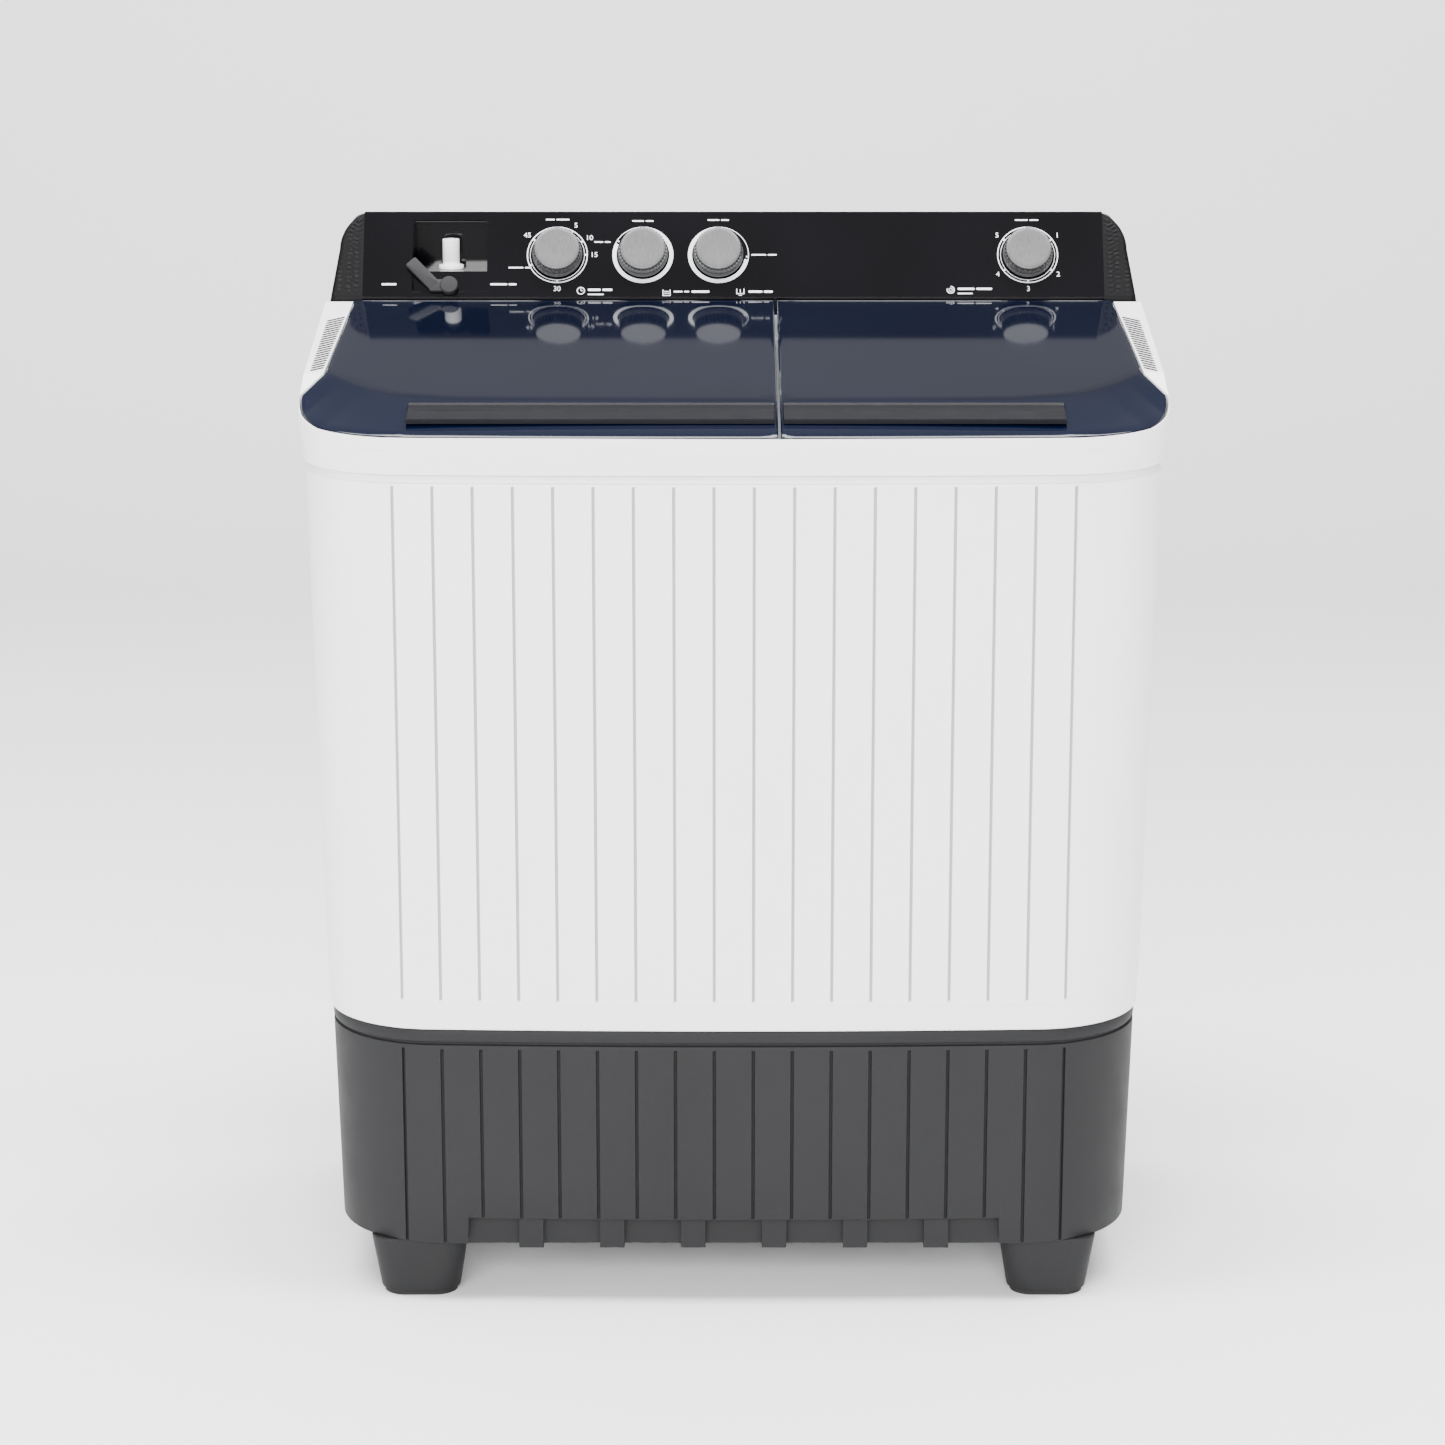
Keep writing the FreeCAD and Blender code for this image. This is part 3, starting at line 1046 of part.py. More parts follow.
def drain_plunger():
    """Upright pull rod: an eye round the crank pin above, a valve plunger below."""
    eye_y, rest = "crank_y", "crank_z-crank_radius*sqrt(0.5)/sin(panel_angle)"
    plate = box("rod_x-12", f"{eye_y}-1.5", f"{rest}-9", 24, 3, 18)
    slot = box("rod_x-8", f"{eye_y}-3", f"{rest}-5.5", 16, 6, 11)
    stem = rod("rod_x", eye_y, "valve_z+24", "rod_radius", f"{rest}-8.5-valve_z-24")
    plug = rod("rod_x", eye_y, "valve_z+12", "valve_radius-8", 14)
    return join("drain_plunger", cut("eye", plate, slot), stem, plug)


def drain_valve_body():
    """Closed valve chamber with a guided rod hole above and three stubs."""
    bore = "rod_radius+fit_gap"
    body = turned("drain_valve_body", ("rod_x", "crank_y", 0), [
        ("hose_radius-hose_wall", "valve_z"), ("valve_radius", "valve_z"),
        ("valve_radius", "valve_top+8"), (bore, "valve_top+8"), (bore, "valve_top+4"),
        ("valve_radius-3", "valve_top+4"), ("valve_radius-3", "valve_z+4"),
        ("hose_radius-hose_wall", "valve_z+4")])
    return body


def pipe(points, radius, bend, wall=0):
    """A hose along straight runs joined by tangent arcs, as a solid or a tube."""
    edges, start = [], Vector(*points[0])
    for before, corner, after in zip(points, points[1:], points[2:]):
        here = Vector(*corner)
        back = (Vector(*before) - here).normalize()
        ahead = (Vector(*after) - here).normalize()
        half = back.getAngle(ahead) / 2
        reach, out = bend / math.tan(half), bend / math.sin(half) - bend
        first, last = here + back * reach, here + ahead * reach
        middle = here + (back + ahead).normalize() * out
        edges += [Part.LineSegment(start, first).toShape(), Part.Arc(first, middle, last).toShape()]
        start = last
    edges.append(Part.LineSegment(start, Vector(*points[-1])).toShape())
    path = Part.Wire(edges)
    way = Vector(*points[1]) - Vector(*points[0])

    def swept(size_now):
        ring = Part.Wire([Part.makeCircle(size_now, Vector(*points[0]), way)])
        return path.makePipeShell([ring], True, False)
    return swept(radius).cut(swept(radius - wall)) if wall else swept(radius)


def drain_hoses():
    """Hoses inside the machine: tub to valve, well to valve and valve to outlet."""
    rod_x, rod_y = value("rod_x"), value("crank_y")
    tub = [value("-wash_x+90"), value("wash_high-50"), value("tub_z-24")]
    well = [value("spin_x-90"), value("-spin_y+95"), value("tub_z-24")]
    low, outlet = value("valve_z"), value("outlet_z")
    side = value("valve_radius") + 0.2
    sump_z = value("valve_z+valve_height*0.7") - 30
    radius, bend = value("hose_radius"), value("3*hose_radius")
    wall = value("hose_wall")
    valve = Vector(rod_x, rod_y, sump_z)

    def to_valve(spigot):
        corner = Vector(spigot[0], spigot[1], sump_z)
        return pipe([spigot, list(corner), list(valve + (corner - valve).normalize() * side)],
                    radius, bend, wall)
    shapes = [
        to_valve(tub), to_valve(well),
        pipe([[rod_x, rod_y, low], [rod_x, rod_y, outlet], [rod_x, value("outlet_y"), outlet]],
             radius, bend, wall)]
    feature = doc.addObject("Part::Feature", "drain_hoses")
    feature.Shape = Part.Compound(shapes)
    return named(feature, "drain_hoses")


def drain_outlet():
    """Spigot through the back of the base, for the drain hose."""
    body = new_body("drain_outlet", ("rod_x", "outlet_y", "outlet_z"))
    body.Placement = FreeCAD.Placement(Vector(), FreeCAD.Rotation(Vector(1, 0, 0), -90))
    bind(body, Placement__Base__x="rod_x", Placement__Base__y="outlet_y", Placement__Base__z="outlet_z")
    bore, tail, seat = "outlet_radius-2", "hose_radius-hose_wall", "base_back-outlet_y"
    turn(body, [(bore, 0), (tail, 0), (tail, seat), ("outlet_radius+5", seat),
                ("outlet_radius+5", f"{seat}+outlet_collar"), ("outlet_radius", f"{seat}+outlet_collar"),
                ("outlet_radius", "rim_back-outlet_y"), (bore, "rim_back-outlet_y")])
    return body


def cord_gland():
    body = new_body("cord_gland", ("gland_x", "base_back", "gland_z"))
    body.Placement = FreeCAD.Placement(Vector(), FreeCAD.Rotation(Vector(1, 0, 0), -90))
    bind(body, Placement__Base__x="gland_x", Placement__Base__y="base_back", Placement__Base__z="gland_z")
    turn(body, [("gland_bore", "-shell_wall-3"), ("gland_radius-2", "-shell_wall-3"), ("gland_radius-2", 0),
                ("gland_radius", 0), ("gland_radius-3", 8), ("gland_bore", 8)])
    return body


def lint_filter():
    return named(box("-wash_x-filter_width/2", "wash_high-filter_depth", "tub_z+240",
                     "filter_width", "filter_depth", "filter_height"), "lint_filter")


def overflow_grille():
    plate = box("-wash_x+wash_half-grille_depth", "wash_y-grille_width/2", "floor_z+60",
                "grille_depth", "grille_width", "frame_z-floor_z-140")
    slots = [box("-wash_x+wash_half-grille_depth-1", "wash_y-grille_width/2+8",
                 f"floor_z+90+{row}*26", "grille_depth-1", "grille_width-16", 8) for row in range(10)]
    return cut("overflow_grille", plate, *slots)


def capacitor():
    return named(rod("-60", "rim_back-70", "pan_top", "capacitor_radius", "capacitor_length"), "capacitor")


def build():
    """Every sub-part, in order from the floor up."""
    wash, spin = ("-wash_x", "wash_y", 0), ("spin_x", "-spin_y", 0)
    motor = ("wash_motor_x", "wash_y", 0)
    parts = [base_casing(), base_pan(), feet(), foot_pads(), cabinet(), rear_cover(), rear_cover_screws(),
             top_frame(), wash_tub(), spin_well(), lint_filter(), overflow_grille(),
             lid("wash_lid", "left"), lid("spin_lid", "right"), lid_hinge_pins(),
             lid_handle("wash_lid_handle", "-wash_handle_left", "lid_split-lid_gap/2-handle_margin"),
             lid_handle("spin_lid_handle", "lid_split+lid_gap/2+handle_margin", "spin_handle_right"),
             spin_inner_cover(), pulsator(), pulsator_cap(), wash_shaft(), wash_bearing_housing(),
             vee_pulley("wash_pulley", wash, "pulley_radius", "shaft_radius"),
             vee_pulley("motor_pulley", motor, "motor_pulley_radius", "motor_shaft"), drive_belt(),
             motor_can("wash_motor", motor, "pan_top"),
             motor_rotor("wash_motor_rotor", motor, "pan_top", "pulley_top+2"),
             spin_motor(),
             motor_rotor("spin_motor_rotor", spin, "spin_plate_z", "drum_z+drum_height/2"),
             brake_drum(), spin_shaft(), shaft_bellows(), spin_basket(), balance_ring(),
             suspension_springs(), brake_arm(),
             console_housing(), console_panel(), end_cap("console_end_left", -1),
             end_cap("console_end_right", 1), inlet_housing(), inlet_spigot(), diverter_lever()]
    for name, dial in DIALS.items():
        parts.append(knob(name + "_knob", dial))
    parts += [control_shaft("wash_timer_shaft", "dial_one", "panel_thick+timer_depth-4"),
              control_shaft("wash_type_shaft", "dial_two", "panel_thick+switch_depth-4"),
              control_shaft("spin_timer_shaft", "dial_four", "panel_thick+timer_depth-4"),
              drain_crank(), control_box("wash_timer", "dial_one", "timer_side", "timer_depth"),
              control_box("wash_selector", "dial_two", "switch_side", "switch_depth"),
              control_box("spin_timer", "dial_four", "timer_side", "timer_depth"),
              drain_plunger(), drain_valve_body(), drain_hoses(), drain_outlet(), cord_gland(), capacitor()]
    return parts


def write(parts):
    """Check every object and shape, then write one STEP file for each sub-part."""
    doc.recompute()
    for thing in doc.Objects:
        if "Invalid" in thing.State or "Error" in thing.State:
            raise RuntimeError(f"{thing.Name} ({thing.Label}) failed: {thing.State}")
    for part in parts:
        if part.Shape.isNull() or not part.Shape.isValid():
            raise RuntimeError(f"{part.Label} has no valid shape")
    os.makedirs("parts", exist_ok=True)
    for part in parts:
        part.Shape.exportStep(f"parts/{part.Label}.step")
    print(len(parts), "sub-parts written")


write(build())
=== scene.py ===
"""Looks of a twin tub washer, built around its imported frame.

Lengths in this file are millimetres until a mesh is made. X is right, -Y is the front, Z is up.
"""
import json
import math

import bmesh
import bpy
import numpy as np
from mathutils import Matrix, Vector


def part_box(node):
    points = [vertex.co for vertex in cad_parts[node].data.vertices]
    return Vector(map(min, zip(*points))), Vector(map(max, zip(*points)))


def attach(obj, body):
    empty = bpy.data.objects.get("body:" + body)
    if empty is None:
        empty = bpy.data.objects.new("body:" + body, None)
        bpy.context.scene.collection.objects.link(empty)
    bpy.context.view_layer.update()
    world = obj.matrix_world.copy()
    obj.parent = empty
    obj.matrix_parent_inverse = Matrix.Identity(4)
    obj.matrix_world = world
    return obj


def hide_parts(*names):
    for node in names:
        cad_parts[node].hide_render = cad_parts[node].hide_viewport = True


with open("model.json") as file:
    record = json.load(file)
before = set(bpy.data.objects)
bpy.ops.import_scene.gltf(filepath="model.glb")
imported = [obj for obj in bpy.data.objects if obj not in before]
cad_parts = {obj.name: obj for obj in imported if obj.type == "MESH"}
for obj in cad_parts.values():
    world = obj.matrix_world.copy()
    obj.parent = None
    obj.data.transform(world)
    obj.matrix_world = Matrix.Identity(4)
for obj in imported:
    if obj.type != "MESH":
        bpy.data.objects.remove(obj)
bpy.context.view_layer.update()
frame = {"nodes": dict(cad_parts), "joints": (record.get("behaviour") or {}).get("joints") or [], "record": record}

MM = 0.001
TURN = 2 * math.pi
BODY_OF = {node: body for body, nodes in frame["record"]["behaviour"]["bodies"].items() for node in nodes}
SLOT_OF = {part["node"]: part["material_slot"] for part in frame["record"]["subparts"]}
JOINT = {joint["name"]: joint for joint in frame["joints"]}


def box_of(node):
    """Lowest and highest corner of a CAD node, in millimetres."""
    low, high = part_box(node)
    return np.array(low) / MM, np.array(high) / MM


# ---------------------------------------------------------------- surfaces

def strip(*values):
    """Numbers as an array."""
    return np.array(values, float)


def between(first, last, count):
    """Evenly spaced numbers, both ends included."""
    return np.linspace(first, last, count)


def stack(rows):
    """Rows of points, all of one length, as one grid."""
    return np.stack([np.asarray(row, float) for row in rows])


def solid_points(x, y, z):
    """Three arrays that broadcast together, as an array of points."""
    return np.stack(np.broadcast_arrays(x, y, z), axis=-1).astype(float)


def outward(loop):
    """Unit normals of a closed anticlockwise loop: the chord of each point's neighbours, turned right."""
    chord = np.roll(loop, -1, axis=0) - np.roll(loop, 1, axis=0)
    normal = np.stack([chord[:, 1], -chord[:, 0]], axis=1)
    return normal / np.maximum(np.linalg.norm(normal, axis=1, keepdims=True), 1e-9)


def pole(row):
    """A row shrunk to its own middle, which closes a surface."""
    return np.broadcast_to(row.mean(axis=0), row.shape)


def slab(loop, rows):
    """A closed solid over a flat loop: at each row the loop is drawn in by an inset and set at a height.

    rows holds (inset, height) from the lowest row to the highest, and both ends close on their middle.
    """
    normal = outward(loop)
    layers = [np.column_stack([loop - normal * inset, np.full(len(loop), height)]) for inset, height in rows]
    return stack([pole(layers[0]), *layers, pole(layers[-1])])


def spun(profile, sides=96, wave=None):
    """A profile of (radius, height) turned about its axis; wave(angle, row) scales the radius."""
    angle = np.arange(sides) * TURN / sides
    rows = []
    for number, (radius, height) in enumerate(profile):
        reach = np.full(sides, float(radius)) if wave is None else radius * wave(angle, number)
        rows.append(np.column_stack([reach * np.cos(angle), reach * np.sin(angle), np.full(sides, height)]))
    return stack(rows)


def rectangle(x0, y0, x1, y1, radius, steps=5):
    """An anticlockwise rectangle whose corners are quarter circles."""
    quarter = between(0, math.pi / 2, steps)
    loop = []
    for number, (x, y) in enumerate([(x1 - radius, y0 + radius), (x1 - radius, y1 - radius),
                                     (x0 + radius, y1 - radius), (x0 + radius, y0 + radius)]):
        angle = quarter + (number - 1) * math.pi / 2
        loop.append(np.column_stack([x + radius * np.cos(angle), y + radius * np.sin(angle)]))
    return np.concatenate(loop)


def circle(x, y, radius, sides):
    """An anticlockwise circle about a point."""
    angle = np.arange(sides) * TURN / sides
    return np.column_stack([x + radius * np.cos(angle), y + radius * np.sin(angle)])


def stand(grid, origin, right=(1, 0, 0), up=(0, 1, 0)):
    """A grid drawn in its own axes, placed at an origin by its right and up directions."""
    right, up = np.array(right, float), np.array(up, float)
    return np.array(origin) + grid @ np.array([right, up, np.cross(right, up)])


class Piece:
    """A mesh put together from grids of points."""

    def __init__(self):
        self.points, self.faces, self.count, self.marks = [], [], 0, []

    def add(self, grid, wrap=True, mark=None):
        """Join a grid's neighbours with quads; wrap joins its last column to its first."""
        rows, columns = grid.shape[:2]
        index = np.arange(rows * columns).reshape(rows, columns) + self.count
        after = np.roll(index, -1, axis=1) if wrap else index[:, 1:]
        here = index if wrap else index[:, :-1]
        self.faces.append(np.stack([here[:-1], after[:-1], after[1:], here[1:]], axis=-1).reshape(-1, 4))
        self.points.append(grid.reshape(-1, 3))
        marks = np.zeros(rows * columns) if mark is None else np.broadcast_to(mark, (rows, columns)).ravel()
        self.marks.append(marks)
        self.count += rows * columns
        return self

    def make(self, name, body, slot, *nodes, wall=0, round_edges=0, sharp=35, outside=True, finish=None):
        """Build the mesh, close its seams, turn its faces outwards and give it its body and finish."""
        mesh = bpy.data.meshes.new(name)
        points = np.concatenate(self.points) * MM
        faces = np.concatenate(self.faces)
        mesh.vertices.add(len(points))
        mesh.vertices.foreach_set("co", points.astype(np.float32).ravel())
        mesh.loops.add(faces.size)
        mesh.loops.foreach_set("vertex_index", faces.astype(np.int32).ravel())
        mesh.polygons.add(len(faces))
        mesh.polygons.foreach_set("loop_start", np.arange(len(faces), dtype=np.int32) * 4)
        mesh.update(calc_edges=True)
        mark = mesh.attributes.new("mark", "FLOAT", "POINT")
        mark.data.foreach_set("value", np.concatenate(self.marks).astype(np.float32))
        return dress(tidy(mesh, outside), name, body, slot, *nodes, wall=wall, round_edges=round_edges,
                     sharp=sharp, finish=finish)


def tidy(mesh, outside=True):
    """Merge doubled points, drop faces with no area and turn the rest outwards."""
    shape = bmesh.new()
    shape.from_mesh(mesh)
    bmesh.ops.remove_doubles(shape, verts=shape.verts, dist=0.02 * MM)
    bmesh.ops.dissolve_degenerate(shape, edges=shape.edges, dist=0.01 * MM)
    if outside:
        bmesh.ops.recalc_face_normals(shape, faces=shape.faces)
    shape.to_mesh(mesh)
    shape.free()
    mesh.validate()
    return mesh


def dress(mesh, name, body, slot, *nodes, wall=0, round_edges=0, sharp=35, finish=None):
    """Make a mesh a finished piece that rides on a body and stands for CAD nodes."""
    mesh.shade_smooth()
    mesh.set_sharp_from_angle(angle=math.radians(sharp))
    piece = bpy.data.objects.new(name, mesh)
    bpy.context.scene.collection.objects.link(piece)
    mesh.materials.append(FINISH[finish or slot])
    if wall:
        shell = piece.modifiers.new("wall", "SOLIDIFY")
        shell.thickness = wall * MM
        shell.offset = -1
    if round_edges:
        bevel = piece.modifiers.new("edges", "BEVEL")
        bevel.width = round_edges * MM
        bevel.segments = 2
        bevel.limit_method = "ANGLE"
        bevel.angle_limit = math.radians(40)
    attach(piece, body)
    if nodes:
        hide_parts(*nodes)
    return piece


# ---------------------------------------------------------------- finishes

class Value:
    """A number that varies over a surface; sums written on it become Math nodes."""

    def __init__(self, finish, socket):
        self.finish, self.socket = finish, socket

    def sum_with(self, operation, first, second):
        """A Math node of two numbers or values."""
        return self.finish.node("ShaderNodeMath", {"operation": operation}, {0: first, 1: second})

    def __add__(self, other):
        return self.sum_with("ADD", self, other)

    def __radd__(self, other):
        return self.sum_with("ADD", other, self)

    def __sub__(self, other):
        return self.sum_with("SUBTRACT", self, other)

    def __rsub__(self, other):
        return self.sum_with("SUBTRACT", other, self)

    def __mul__(self, other):
        return self.sum_with("MULTIPLY", self, other)

    def __rmul__(self, other):
        return self.sum_with("MULTIPLY", other, self)


class Finish:
    """A node material on one Principled shader; numbers that never vary are set on its own sockets."""

    def __init__(self, name, **constants):
        self.material = bpy.data.materials.new(name)
        self.material.use_nodes = True
        self.nodes = self.material.node_tree.nodes
        self.links = self.material.node_tree.links
        self.shader = self.nodes["Principled BSDF"]
        for socket, value in constants.items():
            self.shader.inputs[socket.replace("_", " ")].default_value = value
        self.place = self.node("ShaderNodeTexCoord", {}, {}, "Object")

    def node(self, kind, settings, inputs, output=0):
        """Make a node: its settings first, then the values or links of its sockets."""
        made = self.nodes.new(kind)
        for setting, value in settings.items():
            setattr(made, setting, value)
        for socket, value in inputs.items():
            self.feed(made.inputs[socket], value)
        return Value(self, made.outputs[output])

    def feed(self, socket, value):
        """Link a value to a socket, or set the socket to a constant."""
        if isinstance(value, Value):
            self.links.new(value.socket, socket)
        else:
            socket.default_value = value

    def noise(self, scale, stretch=(1, 1, 1), detail=3.0, rough=0.5):
        """Cloudy values from 0 to 1; scale counts blotches in a metre, stretch draws them out."""
        at = self.node("ShaderNodeMapping", {}, {"Vector": self.place, "Scale": stretch})
        return self.node("ShaderNodeTexNoise", {}, {"Vector": at, "Scale": scale, "Detail": detail,
                                                    "Roughness": rough})

    def ramp(self, value, low, high):
        """Spread the values between two levels over 0 to 1, softly."""
        return self.node("ShaderNodeMapRange", {"interpolation_type": "SMOOTHSTEP"},
                         {"Value": value, "From Min": low, "From Max": high})

    def blend(self, mask, first, second):
        """The first colour where the mask is 0, the second where it is 1."""
        return self.node("ShaderNodeMix", {"data_type": "RGBA"},
                         {0: mask, 6: first if isinstance(first, Value) else (*first, 1),
                          7: second if isinstance(second, Value) else (*second, 1)}, 2)

    def mark(self):
        """The number a piece keeps on its points, such as how far out a point lies; it steers painted shade in the
        casing grooves and painted light at the lids' edges.
        """
        return self.node("ShaderNodeAttribute", {"attribute_name": "mark"}, {}, "Fac")

    def done(self, colour, rough, height=None, depth=0.1):
        """Feed colour, roughness and a height in millimetres to the shader."""
        self.feed(self.shader.inputs["Base Color"], colour)
        self.feed(self.shader.inputs["Roughness"], rough)
        if height is not None:
            bump = self.node("ShaderNodeBump", {}, {"Height": height, "Distance": depth * MM,
                                                    "Strength": 1.0}, "Normal")
            self.feed(self.shader.inputs["Normal"], bump)
        return self.material


def shade(colour, factor):
    """A colour made darker or lighter by a factor."""
    return tuple(channel * factor for channel in colour)


def moulding(name, colour, rough, grain=900, depth=0.02, uneven=0.06, groove=1.0, **constants):
    """Moulded plastic: a slow drift of tone and gloss, and a fine skin texture.

    Where a piece is marked, as in a groove, the colour is multiplied by the groove factor, which paints shade into
    the groove.
    """
    finish = Finish(name, **constants)
    drift = finish.noise(5, detail=2)
    cloud = finish.noise(38, detail=4)
    skin = finish.noise(grain, detail=2)
    mix = drift * 0.6 + cloud * 0.4
    tone = finish.blend(finish.ramp(mix, 0.3, 0.7), shade(colour, 1 - uneven),
                        shade(colour, 1 + uneven * 0.5))
    # painted shade: marked groove points get a darker copy of the colour
    if groove != 1.0:
        tone = finish.blend(finish.mark(), tone, shade(colour, groove))
    gloss = rough * 0.85 + rough * 0.3 * cloud
    return finish.done(tone, gloss + skin * 0.03, skin + cloud * 0.3, depth)


def metal(name, colour, rough, stretch, depth=0.01, scale=700, **constants):
    """Worked metal: tool lines drawn out one way, with dull patches."""
    finish = Finish(name, Metallic=1.0, **constants)
    lines = finish.noise(scale, stretch, detail=3)
    cloud = finish.noise(25, detail=4)
    tone = finish.blend(finish.ramp(lines, 0.3, 0.7), shade(colour, 0.82), shade(colour, 1.08))
    return finish.done(tone, rough + 0.16 * cloud - 0.05 * lines, lines, depth)


def lid_finish():
    """Dark blue gloss: bluer where the lid turns down past its crease, painted light showing through the thin
    edge.
    """
    finish = Finish("lid_blue", IOR=1.46)
    drift = finish.noise(4, detail=2)
    dust = finish.noise(1400, detail=1)
    top = finish.blend(finish.ramp(drift, 0.3, 0.7), (0.0016, 0.0026, 0.008), (0.0024, 0.0036, 0.0105))
    # painted light: rows marked towards the rim take a bluer colour, standing for light through the thin edge
    tone = finish.blend(finish.mark(), top, (0.0009, 0.0028, 0.0125))
    return finish.done(tone, 0.045 + 0.03 * drift + 0.015 * dust, dust + drift, 0.004)


def dial_finish():
    """Silver lacquer with a sheen drawn down the face and darker flutes round the edge."""
    finish = Finish("dial_silver", Metallic=0.3, IOR=1.45)
    lines = finish.noise(260, (6, 0.6, 0.6), detail=2)
    grain = finish.noise(2600, detail=1)
    face = finish.blend(finish.ramp(lines, 0.3, 0.7), (0.085, 0.085, 0.087), (0.115, 0.115, 0.117))
    tone = finish.blend(finish.mark(), face, (0.045, 0.045, 0.047))
    return finish.done(tone, 0.34 + 0.1 * grain - 0.12 * finish.mark(), grain + lines, 0.008)


def zinc_finish():
    """Galvanised sheet: crystal patches of two greys."""
    finish = Finish("galvanised_sheet", Metallic=1.0)
    crystal = finish.node("ShaderNodeTexVoronoi", {"feature": "F1"}, {"Vector": finish.place, "Scale": 90.0},
                          "Distance")
    cloud = finish.noise(30, detail=3)
    tone = finish.blend(finish.ramp(crystal, 0.1, 0.7), (0.20, 0.205, 0.21), (0.29, 0.295, 0.30))
    return finish.done(tone, 0.34 + 0.2 * cloud, crystal + cloud, 0.01)


def gloss_black():
    """Piano black panel: nearly mirror smooth, with the faint ripple of a moulding."""
    finish = Finish("console_black", IOR=1.45)
    ripple = finish.noise(9, detail=1)
    dust = finish.noise(1800, detail=1)
    tone = finish.blend(finish.ramp(ripple, 0.3, 0.7), (0.0012, 0.0011, 0.0018), (0.0018, 0.0016, 0.0026))
    return finish.done(tone, 0.07 + 0.04 * ripple + 0.02 * dust, ripple + dust * 0.1, 0.01)


WHITE = (0.84, 0.84, 0.855)
FINISH = {
    # the groove factors 0.42 and 0.35 below darken the casing grooves as painted shade
    "white_shell": moulding("white_moulding", WHITE, 0.28, 700, 0.012, 0.02, 0.42, IOR=1.45),
    "white_inner": moulding("tub_moulding", (0.80, 0.81, 0.83), 0.30, 500, 0.02, 0.03),
    "dark_base": moulding("base_moulding", (0.0125, 0.0125, 0.0133), 0.55, 1500, 0.035, 0.10, 0.35,
                          IOR=1.26),
    "rubber": moulding("rubber", (0.012, 0.012, 0.0125), 0.75, 1200, 0.06, 0.2, IOR=1.4),
    "steel": metal("turned_steel", (0.60, 0.60, 0.62), 0.24, (0.4, 0.4, 8)),
    "lid": lid_finish(),
    "lid_grip": moulding("grip_moulding", (0.0035, 0.004, 0.006), 0.3, 1300, 0.02, 0.12, IOR=1.3),
    "console_gloss": gloss_black(),
    "console_matte": moulding("cap_moulding", (0.0022, 0.0022, 0.0027), 0.5, 1600, 0.03, 0.15, IOR=1.2),
    "dial_silver": dial_finish(),
    "lever_grey": moulding("lever_moulding", (0.016, 0.016, 0.017), 0.55, 1600, 0.04, 0.12, IOR=1.3),
    "pulsator_grey": moulding("pulsator_moulding", (0.42, 0.47, 0.55), 0.32, 800, 0.02, 0.05),
    "cast": metal("cast_metal", (0.42, 0.42, 0.43), 0.48, (1, 1, 1), 0.06, 350),
    "motor_paint": moulding("motor_enamel", (0.02, 0.02, 0.022), 0.35, 250, 0.05, 0.2),
    "galvanised": zinc_finish(),
    "hose": moulding("hose_rubber", (0.12, 0.123, 0.128), 0.6, 900, 0.05, 0.12),
    "valve": moulding("nylon", (0.55, 0.54, 0.50), 0.42, 700, 0.03, 0.06),
    "frosted": moulding("frosted_cover", (0.45, 0.50, 0.56), 0.35, 1100, 0.04, 0.05, Alpha=0.8),
}
PRINT = moulding("printed_white", (0.82, 0.83, 0.85), 0.4, 1500, 0.01, 0.03)
FINISH["print"] = PRINT
# painted shade: the slots are dark bars standing for the shadow inside them
FINISH["slit"] = moulding("slit_shadow", (0.012, 0.012, 0.014), 0.6, 1500, 0.01, 0.1, IOR=1.3)


def soften(node, width, angle=30):
    """Round a CAD node's sharp edges: weld its triangles, clear flat faces, then bevel."""
    piece = frame["nodes"][node]
    weld = piece.modifiers.new("weld", "WELD")
    weld.merge_threshold = 0.005 * MM
    flat = piece.modifiers.new("flat", "DECIMATE")
    flat.decimate_type = "DISSOLVE"
    flat.angle_limit = math.radians(0.5)
    bevel = piece.modifiers.new("edges", "BEVEL")
    bevel.width = width * MM
    bevel.segments = 3
    bevel.limit_method = "ANGLE"
    bevel.angle_limit = math.radians(angle)
    bevel.use_clamp_overlap = True


for node_name, node_piece in frame["nodes"].items():
    for place in node_piece.material_slots:
        place.material = FINISH[SLOT_OF[node_name]]

# ---------------------------------------------------------------- casing

CORNER, REAR, BOW = 110, 40, 6.5
PITCH = 37.5
GROOVES = (np.arange(18) - 8.5) * PITCH
EDGE = 326
FRONT_X = np.unique(np.concatenate([GROOVES + shift for shift in (-1.6, -1.0, 0, 1.0, 1.6, PITCH / 2)]
                                   + [strip(-EDGE, EDGE)]))
FRONT_X = FRONT_X[np.abs(FRONT_X) <= EDGE]


